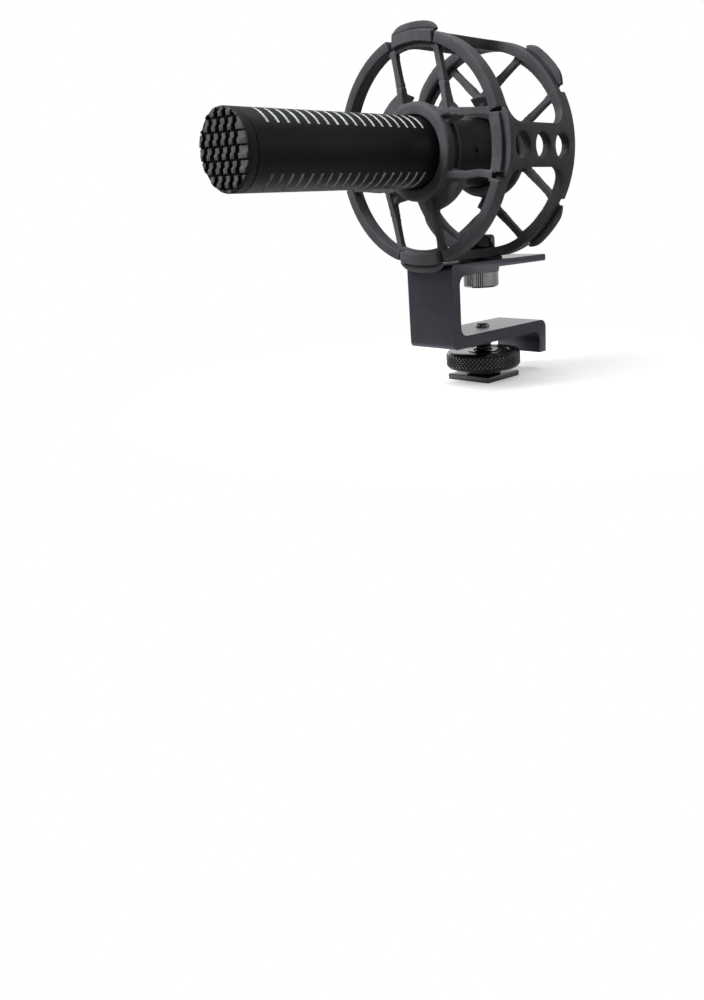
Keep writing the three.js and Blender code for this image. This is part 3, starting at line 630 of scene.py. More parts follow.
# Both are drawn with a pad up and the ring's outward face at y = 0, and stand this far out of it
PROUD = 0.3
PAD_BACK = NOTCH_DEPTH - PROUD
PAD_HALF = math.radians(15.6)
PAD_INNER = 29.4
PAD_OFFSET = 8.76
PAD_ROOT = 28.6
SLAB_HALF = 8.1
LIP_HALF = math.radians(19.5)
HUMP_FALL = 1.65
HUMP_END_DEPTH = 1.9
SPOKE_DEPTH = 1.75
SPOKE_HALF = 1.05
FOOT_OFFSET = 8.8
FOOT_REACH = 19.2
GRIP_BORE = 10.75
GRIP_RADIUS = 12.95
GRIP_FRONT = -1
GRIP_REAR = 7
FLANGE_RADIUS = 14.6
FLANGE_REAR = 2
RIB_RADIUS = 13.9
RIB_FRONT = 4.8
RIB_REAR = 6.1
EAR_ROOT = 11.9
EAR_FRONT = 19.0
EAR_REAR = 17.5
EAR_FACE = 1.25
EAR_LENGTHS = {"front": 7.2, "rear": 5.4}

# How far back the humps reach, so that the lowest clears the bracket as the cage swivels
HUMP_DEPTHS = {"front": 2.8, "rear": 2.4}

# One lower spoke is bowed in the photograph
BOWS = {"front_leg_right": 0.6}

# Two kinds of leg take turns; each leans sideways by so much at its pad and at its foot
LEANS = ((0.7, 2.65), (-0.6, -1.2))


def spider_place(is_front, turn):
    """From where a leg or collar is drawn to its place on a ring."""
    if is_front:
        return Matrix.Translation((0, CAGE_FRONT, AXIS_Z)) @ Matrix.Rotation(turn, 4, "Y")
    return (Matrix.Translation((0, CAGE_REAR, AXIS_Z)) @ Matrix.Rotation(math.pi, 4, "Z")
            @ Matrix.Rotation(turn + math.pi / 4, 4, "Y"))


def across(side, kind, reach):
    """How far a spoke's middle stands across its leg at a distance from the axis."""
    root = PAD_OFFSET * side + LEANS[kind][0]
    foot = FOOT_OFFSET * side + LEANS[kind][1]
    return root + (foot - root) * (PAD_ROOT - reach) / (PAD_ROOT - FOOT_REACH)


def leg(kind, hump_depth, bow):
    """A pad hooked over the ring, its hump outside, its lip inside and two spokes."""
    lean = LEANS[kind][0]

    # Inner and outer radius, half angle, and where each begins and ends behind the ring's face
    slab = sector(RING_INNER - 0.1, RING_OUTER + 0.1, PAD_HALF + 0.04, -PROUD, PAD_BACK)
    between_spokes = cuboid((lean - SLAB_HALF, -2, 20), (lean + SLAB_HALF, 5, 40))
    slab = combined(slab, "INTERSECT", [between_spokes])
    web = sector(RING_INNER - 0.5, RING_INNER, PAD_HALF - 0.03, 0.6, PAD_BACK)
    lip = sector(PAD_INNER, RING_INNER - 0.3, LIP_HALF, 0.9, 2.4)
    neck = sector(RING_OUTER - 0.1, RING_OUTER + 0.9, PAD_HALF - 0.03, 1.2, PAD_BACK)
    seat = sector(RING_OUTER + 0.2, RING_OUTER + 0.9, PAD_HALF - 0.02, 1.3, hump_depth - PROUD)
    hump = sector(RING_OUTER + 0.6, RING_OUTER + 2.5, PAD_HALF - 0.005, 0.9, hump_depth)
    for v in hump.verts:
        angle = math.atan2(v.co.x, v.co.z)
        radius = math.hypot(v.co.x, v.co.z)
        fall = max(0.0, (abs(angle) - PAD_HALF * 0.5) / (PAD_HALF * 0.5)) ** 2
        if radius > RING_OUTER + 1:
            radius -= HUMP_FALL * fall
            v.co.x, v.co.z = radius * math.sin(angle), radius * math.cos(angle)
        if v.co.y > 1:
            v.co.y -= (hump_depth - HUMP_END_DEPTH) * fall
    for shape in (neck, seat, hump):
        rotated(shape, math.asin(lean / RING_OUTER), AROUND_Y)

    # Distance from the axis, half width, half thickness, and how much of the bow it takes
    stations = (
        (PAD_ROOT + 0.8, 1.3, 1.15, 0),
        (PAD_ROOT - 1.6, SPOKE_HALF, 1.0, 0.6),
        ((PAD_ROOT + FOOT_REACH) / 2, SPOKE_HALF, 1.0, 1),
        (FOOT_REACH + 2.5, 1.1, 1.0, 0.5),
        (FOOT_REACH + 0.3, 1.2, 1.1, 0),
        (FOOT_REACH - 0.6, 1.0, 0.9, 0),
    )
    spokes = []
    for side, most in ((-1, 0.0), (1, bow)):
        spokes.append(strut([
            ((across(side, kind, reach) - most * share, SPOKE_DEPTH, reach), wide, thick)
            for reach, wide, thick, share in stations
        ]))
    return moulded(joined([slab, web, lip, neck, seat, hump, *spokes]), grain=0.2, passes=5)


def ear(begin, end, length):
    """A wedge between two spokes, whose far edge stands nearer the axis than its near one."""
    bm = sector(EAR_ROOT, EAR_FRONT, (end - begin) / 2, -PROUD, length - PROUD)
    for v in bm.verts:
        radius = math.hypot(v.co.x, v.co.z)
        if radius > 15 and v.co.y > 1:
            v.co.x *= EAR_REAR / radius
            v.co.z *= EAR_REAR / radius
        else:
            v.co.y = EAR_FACE
    return rotated(bm, (begin + end) / 2, AROUND_Y)


def collar(first_kind, ear_length):
    """The grip round the tube with a flange, a rib and a thick ear between each two legs."""
    shapes = [turned([
        (GRIP_BORE, GRIP_FRONT, 0.5), (FLANGE_RADIUS, GRIP_FRONT, 1.3),
        (FLANGE_RADIUS, FLANGE_REAR, 0.7), (GRIP_RADIUS, FLANGE_REAR, 0),
        (GRIP_RADIUS, RIB_FRONT, 0), (RIB_RADIUS, RIB_FRONT, 0.4), (RIB_RADIUS, RIB_REAR, 0.4),
        (GRIP_RADIUS, RIB_REAR, 0), (GRIP_RADIUS, GRIP_REAR, 0.4), (GRIP_BORE, GRIP_REAR, 0.3),
    ], 96, AROUND_Y)]

    # Distance from the axis, half width and half thickness
    stations = (
        (FOOT_REACH + 0.4, 1.0, 0.9), (FOOT_REACH - 0.4, 1.25, 1.2), (16.5, 1.0, 1.5),
        (9.9, 1.0, 2.1),
    )
    for k in range(4):
        kind = (k + first_kind) % 2
        here = across(1, kind, FOOT_REACH)
        there = across(-1, 1 - kind, FOOT_REACH)
        begin = math.asin((here - SPOKE_HALF) / EAR_REAR)
        end = math.pi / 2 - math.asin((-there - SPOKE_HALF) / EAR_REAR)
        feet = [
            strut([
                ((across(side, kind, reach), SPOKE_DEPTH, reach), wide, thick)
                for reach, wide, thick in stations
            ])
            for side in (-1, 1)
        ]
        for shape in (ear(begin, end, ear_length), *feet):
            shapes.append(rotated(shape, k * math.pi / 2, AROUND_Y))
    return moulded(joined(shapes), grain=0.26, passes=6)


for prefix, first_kind, words in (
    ("front", 0, ("top", "right", "bottom", "left")),
    ("rear", 1, ("upper_left", "lower_left", "lower_right", "upper_right")),
):
    is_front = prefix == "front"
    node = f"{prefix}_collar"
    shape = placed(collar(first_kind, EAR_LENGTHS[prefix]), spider_place(is_front, 0))
    finished(f"{node}_rubber", shape, [spider_rubber], "suspension", [node])
    for k, word in enumerate(words):
        node = f"{prefix}_leg_{word}"
        place = spider_place(is_front, k * math.pi / 2)
        shape = leg((k + first_kind) % 2, HUMP_DEPTHS[prefix], BOWS.get(node, 0.0))
        piece = finished(f"{node}_rubber", placed(shape, place), [spider_rubber], None,
                         [node])
        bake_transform(piece)


# -------------------- microphone

TUBE_START = TIP + 3.45
TUBE_END = TAIL - 1.6
TUBE_WALL = 1.2
TUBE_SIDES = 90
CHAMFER = 0.2
CHAMFER_SHARE = 0.985

# Slots run between two angles above and below each side, in degrees, and are spread evenly
# from one behind the tip to one before the cage's front
SLOT_COUNT = 18
SLOT_HALF = 0.4
SLOT_LOW = 36
SLOT_HIGH = 76
FIRST_SLOT = TIP + 8.65
LAST_SLOT = CAGE_FRONT - 5.15
SLOTS = [
    FIRST_SLOT + k * (LAST_SLOT - FIRST_SLOT) / (SLOT_COUNT - 1) for k in range(SLOT_COUNT)
]

SCREW_STATION = -14.0
SCREW_HOLE = 1.4


def slotted_tube():
    """Rings of edges are drawn out along the axis, the slots left open, then it gets a wall."""
    bm = bmesh.new()
    bmesh.ops.create_circle(bm, segments=TUBE_SIDES, radius=TUBE_RADIUS)
    rotated(bm, math.pi / TUBE_SIDES, AROUND_Z)
    rotated(bm, math.pi / 2, AROUND_X)
    moved(bm, 0, TUBE_START, 0)
    stations = [TUBE_START, TUBE_START + CHAMFER]
    for slot in SLOTS:
        stations += [slot - SLOT_HALF, slot + SLOT_HALF]
    stations += [TUBE_END - CHAMFER, TUBE_END]
    edges = bm.edges[:]
    for here, there in zip(stations, stations[1:]):
        grown = bmesh.ops.extrude_edge_only(bm, edges=edges)["geom"]
        verts = only(bmesh.types.BMVert, grown)
        bmesh.ops.translate(bm, vec=(0, there - here, 0), verts=verts)
        fresh = set(verts)
        edges = [e for v in verts for e in v.link_edges if e.other_vert(v) in fresh]
        edges = list(dict.fromkeys(edges))
    for v in bm.verts:
        if v.co.y < TUBE_START + 0.01 or v.co.y > TUBE_END - 0.01:
            v.co.x *= CHAMFER_SHARE
            v.co.z *= CHAMFER_SHARE

    openings = []
    for face in bm.faces:
        middle = face.calc_center_median()
        angle = math.degrees(math.atan2(abs(middle.z), abs(middle.x)))
        if SLOT_LOW < angle < SLOT_HIGH and any(abs(middle.y - slot) < 0.1 for slot in SLOTS):
            openings.append(face)
    bmesh.ops.delete(bm, geom=openings, context="FACES")
    bmesh.ops.recalc_face_normals(bm, faces=bm.faces)
    bmesh.ops.solidify(bm, geom=bm.faces[:], thickness=TUBE_WALL)
    bmesh.ops.recalc_face_normals(bm, faces=bm.faces)
    screw_hole = rod(SCREW_HOLE, 8.5, 12, AROUND_X, 32, y=SCREW_STATION)
    bm = combined(bm, "DIFFERENCE", [screw_hole])

    # The walls of the slots are bare metal
    for face in bm.faces:
        middle = face.calc_center_median()
        radius = math.hypot(middle.x, middle.z)
        radial = abs(face.normal.x * middle.x + face.normal.z * middle.z) / radius
        in_slot = abs(middle.z) > 3 and TUBE_START + 1 < middle.y < TUBE_END - 1
        if radial < 0.5 and in_slot:
            face.material_index = 1
    return moved(bm, 0, 0, AXIS_Z)


finished("slotted_tube", slotted_tube(), [housing, sawn], "microphone",
         ["housing_tube"])

# The blocks stand in a grid that is a little off the middle, as in the photograph
GRILLE_PITCH = 3.4
GRILLE_X = 0.6
GRILLE_Z = -0.8
GRILLE_FLOOR = 1.1
GRILLE_BACK = 2.1
CAP_LENGTH = 3.33
CAP_INSIDE = 9.5
BLOCK_COLUMNS = 6
BLOCK_ROWS = 7
BLOCK_HALF_WIDTH = 0.84
BLOCK_HALF_HEIGHT = 1.48
BLOCK_SHIFT = 0.26
BLOCK_WAIST = 0.3
BLOCK_STEP = 0.3
BLOCK_DEPTH = 1.4
PORE_RADIUS = 0.45
PORES_WITHIN = 8.6


def grille_block(to_rim):
    """One block, whose upper half stands to one side of its lower half and further back."""
    bm = bmesh.new()
    bmesh.ops.create_grid(bm, x_segments=1, y_segments=3, size=0.5)
    for v in bm.verts:
        sign = 1 if v.co.y > 0 else -1
        v.co.y = (BLOCK_HALF_HEIGHT if abs(v.co.y) > 0.3 else BLOCK_WAIST) * sign
        if to_rim and v.co.x > 0:
            v.co.x = 3.5
        else:
            v.co.x = (BLOCK_HALF_WIDTH if v.co.x > 0 else -BLOCK_HALF_WIDTH) + BLOCK_SHIFT * sign
        v.co.z = -BLOCK_STEP if sign > 0 else 0.0
    grown = bmesh.ops.extrude_face_region(bm, geom=bm.faces[:])["geom"]
    for v in only(bmesh.types.BMVert, grown):
        v.co.z = -BLOCK_DEPTH
    softened(bm, width=0.14, segments=2, over=50)
    return placed(bm, Matrix.Rotation(math.pi / 2, 4, "X"))


def grille():
    """A cup whose face carries S-shaped blocks, cut to the cap's rounded rim."""
    cup = turned([
        (0, GRILLE_FLOOR, 0), (9.8, GRILLE_FLOOR, 0), (9.9, 0.5, 0.15), (TUBE_RADIUS, 0.8, 0.3),
        (TUBE_RADIUS, CAP_LENGTH, 0.2), (CAP_INSIDE, CAP_LENGTH, 0), (CAP_INSIDE, GRILLE_BACK, 0),
        (0, GRILLE_BACK, 0),
    ], 96, AROUND_Y)
    rim = turned([
        (0, -0.02, 0), (TUBE_RADIUS, -0.02, 0.9), (TUBE_RADIUS, 1.6, 0), (0, 1.6, 0),
    ], 96, AROUND_Y)
    blocks = []
    for i in range(BLOCK_COLUMNS):
        for j in range(BLOCK_ROWS):
            x = (i - 3) * GRILLE_PITCH + GRILLE_X
            z = (j - 3) * GRILLE_PITCH + GRILLE_Z
            nearest_corner = math.hypot(abs(x) - 1, abs(z) - 1.4)
            if nearest_corner <= TUBE_RADIUS:
                block = grille_block(to_rim=i == BLOCK_COLUMNS - 1)
                blocks.append(moved(block, x, 0, z))
    pores = []
    for i in range(BLOCK_COLUMNS):
        for j in range(BLOCK_ROWS - 1):
            x = (i - 3) * GRILLE_PITCH + GRILLE_X + GRILLE_PITCH / 2
            z = (j - 3) * GRILLE_PITCH + GRILLE_Z + GRILLE_PITCH / 2
            if math.hypot(x, z) < PORES_WITHIN:
                pores.append(rod(PORE_RADIUS, 0.5, 3, AROUND_Y, 12, x, 0, z))
    raised = combined(joined(blocks), "INTERSECT", [rim])
    whole = combined(cup, "UNION", [raised])
    whole = combined(whole, "DIFFERENCE", [joined(pores)])
    rotated(whole, math.radians(1), AROUND_Y)
    return moved(whole, 0, TIP, AXIS_Z)


finished("blasted_grille_cap", grille(), [grille_black], "microphone",
         ["grille_cap"], crisp=30)


def rear_plate():
    """The end plate, a cup whose wall goes into the tube."""
    bore, spigot, spigot_bore = 3.1, 9.2, 7.6
    inside, spigot_end = 9.22, 5.1
    plate = turned([
        (bore, TAIL, 0.2), (TUBE_RADIUS, TAIL, 0.5), (TUBE_RADIUS, inside, 0.15),
        (spigot, inside, 0), (spigot, spigot_end, 0), (spigot_bore, spigot_end, 0),
        (spigot_bore, inside, 0), (bore, inside, 0),
    ], 96, AROUND_Y)
    return moved(plate, 0, 0, AXIS_Z)


finished("turned_rear_plate", rear_plate(), [housing], "microphone",
         ["rear_plate"], even=True)


def jack_socket():
    """The barrel of the socket with its flange, open at the back for the plug."""
    bore, barrel, flange = 1.8, 3, 4.2
    end, bottom, seat, face = -3.2, -1.2, 10.8, 11.8
    socket = turned([
        (0, end, 0), (barrel, end, 0.2), (barrel, seat, 0), (flange, seat, 0.1),
        (flange, face, 0.3), (bore, face, 0.25), (bore, bottom, 0), (0, bottom, 0),
    ], 64, AROUND_Y)
    return moved(socket, 0, 0, AXIS_Z)


finished("turned_jack_socket", jack_socket(), [gold], "microphone",
         ["jack_socket"], even=True)


# -------------------- bracket and fasteners

BRACKET_WIDTH = 19.5
BRACKET_WALL = 4
TOP_ARM = 3.7
TOP_TAIL = 2.3
TAIL_START = -2.2
LIP_BOTTOM = 6.4
BEND = 3
FRONT_CORNER = 1.6
PLATE_EDGE = 0.5
BOSS_RADIUS = 6.4
SOCKET_ROOF = 1.1
TIP_HOLE = 2.6


def bracket():
    """A C with a turned-down lip, whose top arm is thinner behind the nut."""
    inside = BRACKET_FRONT + BRACKET_WALL
    lip_inside = BRACKET_REAR - BRACKET_WALL
    arm_under = BRACKET_TOP - TOP_ARM
    tail_under = BRACKET_TOP - TOP_TAIL
    bm = extruded([
        (BRACKET_FRONT, ARM_BOTTOM, FRONT_CORNER), (lip_inside, ARM_BOTTOM, BEND),
        (lip_inside, LIP_BOTTOM, 0), (BRACKET_REAR, LIP_BOTTOM, 0), (BRACKET_REAR, ARM_TOP, BEND),
        (inside, ARM_TOP, BEND), (inside, arm_under, BEND), (TAIL_START, arm_under, 0),
        (TAIL_START, tail_under, 0), (BRACKET_REAR, tail_under, PLATE_EDGE),
        (BRACKET_REAR, BRACKET_TOP, PLATE_EDGE), (BRACKET_FRONT, BRACKET_TOP, FRONT_CORNER),
    ], BRACKET_WIDTH)
    placed(bm, Matrix.Translation((-BRACKET_WIDTH / 2, 0, 0)) @ UPRIGHT)
    bm = combined(bm, "UNION", [rod(BOSS_RADIUS, arm_under, BRACKET_TOP - 1, AROUND_Z, 64)])
    bm = combined(bm, "DIFFERENCE", [
        rod(STUD_RADIUS + FREE_GAP, arm_under - 1, BRACKET_TOP + 1, AROUND_Z, 48),
        rod(STUD_RADIUS + CLOSE_GAP, ARM_BOTTOM - 1, ARM_TOP - SOCKET_ROOF, AROUND_Z, 48),
        rod(TIP_HOLE, ARM_BOTTOM, ARM_TOP + 1, AROUND_Z, 48),
    ])
    return softened(bm, width=0.35, segments=3, over=40)


finished("c_bracket_body", bracket(), [anodised], "base", ["c_bracket"],
         even=True)

FOOT_HALF_WIDTH = 9.3
FOOT_HALF_LENGTH = 9
FOOT_CORNER = 0.6
FOOT_THICKNESS = 2
FOOT_SOCKET_FLOOR = 0.8
NECK_RADIUS = 6.1
NECK_TOP = 3.7


def shoe_foot():
    """The plate that slides into a shoe, with the neck that holds the stud."""
    x, y, corner = FOOT_HALF_WIDTH, FOOT_HALF_LENGTH, FOOT_CORNER
    plate = extruded(
        [(-x, -y, corner), (x, -y, corner), (x, y, corner), (-x, y, corner)], FOOT_THICKNESS
    )
    whole = combined(plate, "UNION", [rod(NECK_RADIUS, 1, NECK_TOP, AROUND_Z, 64)])
    socket = rod(STUD_RADIUS + CLOSE_GAP, FOOT_SOCKET_FLOOR, 5, AROUND_Z, 48)
    whole = combined(whole, "DIFFERENCE", [socket])
    return softened(whole, width=0.3, segments=2, over=40)


finished("shoe_foot_plate", shoe_foot(), [black_steel], "base", ["shoe_foot"],
         even=True)

THREAD_PITCH = 1.27
THREAD_DEPTH = 0.5
THREAD_BOTTOM = 0.9
THREAD_TOP = 16.8
CREST_START = 0.42
CREST_END = 0.58
STEPS_A_TURN = 36
STUD_TIP_RADIUS = 2.45
STUD_TIP_BOTTOM = 15.5
STUD_TIP_TOP = 19.5


def threaded_stud():
    """A quarter-inch thread, 20 turns to the inch, with a rounded tip that shows in the arm."""
    bm = bmesh.new()
    crest = STUD_RADIUS - 0.02
    root = STUD_RADIUS - THREAD_DEPTH
    start = THREAD_BOTTOM - THREAD_PITCH * 1.5
    outline = [
        (root, 0), (crest, THREAD_PITCH * CREST_START), (crest, THREAD_PITCH * CREST_END),
        (root, THREAD_PITCH),
    ]
    verts = [bm.verts.new((radius, 0, start + z)) for radius, z in outline]
    for a, b in zip(verts, verts[1:]):
        bm.edges.new((a, b))
    turns = math.ceil((THREAD_TOP - THREAD_BOTTOM) / THREAD_PITCH) + 2
    bmesh.ops.spin(
        bm,
        geom=bm.verts[:] + bm.edges[:],
        cent=(0, 0, 0),
        axis=(0, 0, 1),
        dvec=(0, 0, THREAD_PITCH / STEPS_A_TURN),
        angle=math.tau * turns,
        steps=STEPS_A_TURN * turns,
    )
    bmesh.ops.remove_doubles(bm, verts=bm.verts, dist=1e-3)
    for height, is_bottom in ((THREAD_BOTTOM, True), (THREAD_TOP, False)):
        bmesh.ops.bisect_plane(
            bm,
            geom=everything(bm),
            dist=WELD,
            plane_co=(0, 0, height),
            plane_no=(0, 0, 1),
            clear_inner=is_bottom,
            clear_outer=not is_bottom,
        )
        rim = [e for e in bm.edges if all(abs(v.co.z - height) < 1e-3 for v in e.verts)]
        bmesh.ops.holes_fill(bm, edges=rim, sides=0)
    tip = turned([
        (0, STUD_TIP_BOTTOM, 0), (STUD_TIP_RADIUS, STUD_TIP_BOTTOM, 0),
        (STUD_TIP_RADIUS, STUD_TIP_TOP, 1.1), (0, STUD_TIP_TOP, 0),
    ], 48, AROUND_Z)
    return combined(bm, "UNION", [tip])


finished("threaded_stud_thread", threaded_stud(), [zinc], "base",
         ["threaded_stud"], crisp=50)

RING_BOTTOM = 4
RING_TOP = 10
RING_EDGE = 12.4
RECESS_FLOOR = 9.75
RECESS_INNER = 5.4
RECESS_OUTER = 9.2
RECESS_SLOPE = 0.2
KNURL_LOW = 4.75
KNURL_HIGH = 9.25
KNURL_ROWS = 3
KNURL_COLUMNS = 56
KNURL_POINT = 0.3


def lock_ring():
    """The side is poked into diamonds, and each diamond is drawn out to a point."""
    row = (KNURL_HIGH - KNURL_LOW) / KNURL_ROWS
    band = [(KNURL_RADIUS, KNURL_LOW + row * k, 0) for k in range(KNURL_ROWS + 1)]
    bm = turned([
        (STUD_RADIUS + FREE_GAP, RING_BOTTOM, 0.2), (RING_EDGE, RING_BOTTOM, 0.15), *band,
        (RING_EDGE, RING_TOP, 0.15), (RECESS_OUTER, RING_TOP, 0),
        (RECESS_OUTER - RECESS_SLOPE, RECESS_FLOOR, 0),
        (RECESS_INNER + RECESS_SLOPE, RECESS_FLOOR, 0), (RECESS_INNER, RING_TOP, 0),
        (STUD_RADIUS + FREE_GAP, RING_TOP, 0.2),
    ], KNURL_COLUMNS, AROUND_Z)

    def on_side(face, within):
        return all(abs(math.hypot(v.co.x, v.co.y) - KNURL_RADIUS) < within for v in face.verts)

    side = [f for f in bm.faces if on_side(f, 0.01)]
    side_faces = set(side)
    inner = [
        e for e in bm.edges
        if len(e.link_faces) == 2 and all(f in side_faces for f in e.link_faces)
    ]
    bmesh.ops.poke(bm, faces=side, offset=0, center_mode="MEAN", use_relative_offset=False)
    bmesh.ops.dissolve_edges(bm, edges=[e for e in inner if e.is_valid], use_verts=False)
    diamonds = [f for f in bm.faces if len(f.verts) == 4 and on_side(f, 0.05)]
    bmesh.ops.poke(
        bm, faces=diamonds, offset=KNURL_POINT, center_mode="MEAN", use_relative_offset=False
    )
    return bm


finished("lock_ring_knurl", lock_ring(), [ring_black], "lock_ring",
         ["lock_ring"], crisp=28)

NUT_BOTTOM = 32
NUT_TOP = 37.6
NUT_RADIUS = 6.08
NUT_SHOULDER = 5.5
NUT_CHAMFER = 0.5
FLUTE_STEPS = 112
FLUTE_DEPTH = 0.12


def thumb_nut():
    """Every other line of the side stands back, which makes 56 fine flutes."""
    bm = turned([
        (STUD_RADIUS + FREE_GAP, NUT_BOTTOM, 0.2), (NUT_SHOULDER, NUT_BOTTOM, 0.1),
        (NUT_RADIUS, NUT_BOTTOM + NUT_CHAMFER, 0), (NUT_RADIUS, NUT_TOP - NUT_CHAMFER, 0),
        (NUT_SHOULDER, NUT_TOP, 0.1), (STUD_RADIUS + FREE_GAP, NUT_TOP, 0.2),
    ], FLUTE_STEPS, AROUND_Z)
    for v in bm.verts:
        radius = math.hypot(v.co.x, v.co.y)
        step = round(math.atan2(v.co.y, v.co.x) / math.tau * FLUTE_STEPS)
        if radius > 6 and step % 2:
            v.co.x *= 1 - FLUTE_DEPTH / radius
            v.co.y *= 1 - FLUTE_DEPTH / radius
    return bm


finished("thumb_nut_knurl", thumb_nut(), [nickel], "thumb_nut", ["thumb_nut"], crisp=25)


def cage_bolt():
    """A socket-head bolt down through the cage, the bracket and the nut."""
    end, seat, top = 32.7, 44.8, 49.6
    socket_radius, socket_floor = 2.8, 46.8
    bm = turned([
        (0, end, 0), (STUD_RADIUS, end, 0.4), (STUD_RADIUS, seat, 0), (BOLT_HEAD_RADIUS, seat, 0.2),
        (BOLT_HEAD_RADIUS, top, 1.3), (0, top, 0),
    ], 64, AROUND_Z)
    return combined(bm, "DIFFERENCE", [rod(socket_radius, socket_floor, 51, AROUND_Z, 6)])


finished("cage_bolt_socket_head", cage_bolt(), [black_steel], "cage",
         ["cage_bolt"], crisp=30)


def cage_washer():
    """The flat washer between the cage and the bracket."""
    radius, top = 7.5, 42.2
    return turned([
        (STUD_RADIUS + FREE_GAP, BRACKET_TOP, 0.15), (radius, BRACKET_TOP, 0.25),
        (radius, top, 0.25), (STUD_RADIUS + FREE_GAP, top, 0.15),
    ], 72, AROUND_Z)


finished("cage_washer_ring", cage_washer(), [washer_rubber], "cage",
         ["cage_washer"], even=True)

# The CAD's own solids that stay, each with its finish
for node_name, finish in {
    "housing_screw": dull_black, "front_foam": foam, "cloth_liner": acoustic_cloth,
    "capsule": capsule_metal, "capsule_sleeve": washer_rubber, "board_carrier": black_plastic,
    "circuit_board": solder_mask, "amplifier_chip": black_plastic,
    "filter_capacitor": capsule_metal, "capsule_lead_red": red_wire,
    "capsule_lead_black": black_wire,
}.items():
    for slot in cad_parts[node_name].material_slots:
        slot.material = finish


# -------------------- camera, light and floor

# The photograph's camera, solved from the tube, the rings and the bracket
CAMERA_PLACE = (0.19625, -0.24255, 0.06042)
CAMERA_TURN = (42.888, 17.944, -2.826)
CAMERA_LENS = 31.35
CAMERA_SENSOR = 36
CAMERA_SHIFT = (-0.0782, -0.0140)

# Where the lamps point, and their places, sizes and watts
LIT_POINT = (0, -0.03, 0.07)
LAMPS = {
    "key_front_left": ((-0.16, -0.4, 0.5), (0.32, 0.32), 5.2),
    "top": ((0.0, 0.05, 0.62), (0.5, 0.5), 1.6),
    "back_right": ((0.65, 0.75, 0.3), (0.7, 0.7), 1.9),
    "left": ((-0.9, 0.05, 0.12), (0.8, 0.4), 3.0),
    "behind": ((-0.9, 1.1, 0.35), (1.2, 0.7), 2.6),
}

# How bright the white surroundings are in reflections, and as light on the object
MIRRORED_WHITE = 0.42
SCATTERED_WHITE = 0.18

# The floor keeps the shadow near the foot, and is plain white from the second distance on
FLOOR_NEAR = 0.04
FLOOR_FAR = 0.13
FLOOR_LIFT = 0.35


def camera():
    """The photograph's camera, from its place, its turn in degrees and its lens."""
    yaw, pitch, roll = (math.radians(angle) for angle in CAMERA_TURN)
    forward = Vector((
        -math.sin(yaw) * math.cos(pitch), math.cos(yaw) * math.cos(pitch), -math.sin(pitch)
    ))
    right = Vector((math.cos(yaw), math.sin(yaw), 0))
    up = right.cross(forward)
    right, up = (
        right * math.cos(roll) + up * math.sin(roll),
        up * math.cos(roll) - right * math.sin(roll),
    )
    lens = bpy.data.cameras.new("camera")
    lens.lens = CAMERA_LENS
    lens.sensor_width = CAMERA_SENSOR
    lens.shift_x, lens.shift_y = CAMERA_SHIFT
    lens.clip_start = 0.01
    obj = bpy.data.objects.new("camera", lens)
    turn = Matrix((right, up, -forward)).transposed()
    obj.matrix_world = Matrix.Translation(CAMERA_PLACE) @ turn.to_4x4()
    bpy.context.scene.collection.objects.link(obj)
    bpy.context.scene.camera = obj


def lamp(name, place, size, watts):
    """A rectangular lamp that faces the lit point."""
    light = bpy.data.lights.new(name, "AREA")
    light.shape = "RECTANGLE"
    light.size, light.size_y = size
    light.energy = watts
    obj = bpy.data.objects.new(name, light)
    aim = Vector(LIT_POINT) - Vector(place)
    obj.location = place
    obj.rotation_euler = aim.to_track_quat("-Z", "Y").to_euler()
    bpy.context.scene.collection.objects.link(obj)


def seen_white(tree, scattered):
    """1 for camera and transmission rays, less for reflections and least for scattered light."""
    path = add(tree, "ShaderNodeLightPath")
    direct = add(tree, "ShaderNodeMath", {"operation": "MAXIMUM"},
                 links={0: path.outputs["Is Camera Ray"], 1: path.outputs["Is Transmission Ray"]})
    mirrored = add(tree, "ShaderNodeMath", {"operation": "MULTIPLY"}, {1: MIRRORED_WHITE},
                   {0: path.outputs["Is Glossy Ray"]})
    either = add(tree, "ShaderNodeMath", {"operation": "MAXIMUM"},
                 links={0: direct.outputs[0], 1: mirrored.outputs[0]})
    return add(tree, "ShaderNodeMath", {"operation": "MAXIMUM"}, {1: scattered},
               {0: either.outputs[0]}).outputs[0]


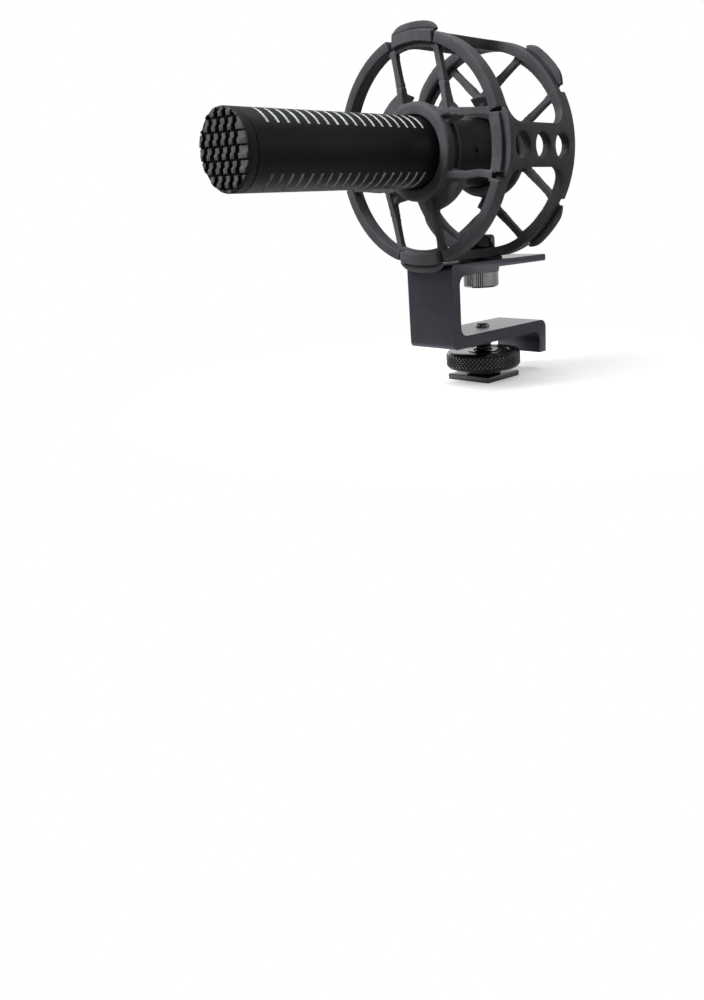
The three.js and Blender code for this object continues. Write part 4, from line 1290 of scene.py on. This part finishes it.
def white_studio():
    """Surroundings that the camera sees as plain white."""
    world = bpy.data.worlds.new("white_studio")
    tree = emptied(world)
    white = add(tree, "ShaderNodeBackground", values={"Color": linear("#ffffff")},
                links={"Strength": seen_white(tree, SCATTERED_WHITE)})
    add(tree, "ShaderNodeOutputWorld", links={"Surface": white.outputs[0]})
    bpy.context.scene.world = world


def floor_paint():
    """Matt pale paint near the foot, which fades to the white of the surroundings."""
    material = bpy.data.materials.new("pale_floor")
    tree = emptied(material)
    matt = add(tree, "ShaderNodeBsdfDiffuse", values={"Color": linear("#ececed")})
    seen = seen_white(tree, 0.0)
    lifted = add(tree, "ShaderNodeMath", {"operation": "MULTIPLY"}, {1: FLOOR_LIFT}, {0: seen})
    lift = add(tree, "ShaderNodeEmission", values={"Color": linear("#ffffff")},
               links={"Strength": lifted.outputs[0]})
    near = add(tree, "ShaderNodeAddShader", links={0: matt.outputs[0], 1: lift.outputs[0]})
    far = add(tree, "ShaderNodeEmission", values={"Color": linear("#ffffff")},
              links={"Strength": seen})
    spread = add(tree, "ShaderNodeVectorMath", {"operation": "LENGTH"},
                 links={0: add(tree, "ShaderNodeTexCoord").outputs["Object"]})
    fade = add(tree, "ShaderNodeMapRange", {"interpolation_type": "SMOOTHSTEP"},
               {"From Min": FLOOR_NEAR, "From Max": FLOOR_FAR}, {"Value": spread.outputs["Value"]})
    ground = add(tree, "ShaderNodeMixShader",
                 links={0: fade.outputs["Result"], 1: near.outputs[0], 2: far.outputs[0]})
    add(tree, "ShaderNodeOutputMaterial", links={"Surface": ground.outputs[0]})
    return material


def floor():
    """The ground that the foot stands on, which is no piece of the object."""
    bm = bmesh.new()
    bmesh.ops.create_grid(bm, x_segments=4, y_segments=4, size=4)
    mesh = bpy.data.meshes.new("floor")
    bm.to_mesh(mesh)
    bm.free()
    mesh.materials.append(floor_paint())
    obj = bpy.data.objects.new("floor", mesh)
    bpy.context.scene.collection.objects.link(obj)


camera()
for name, (place, size, watts) in LAMPS.items():
    lamp(name, place, size, watts)
white_studio()
floor()

bpy.context.scene.view_settings.view_transform = "Standard"

bpy.context.view_layer.update()
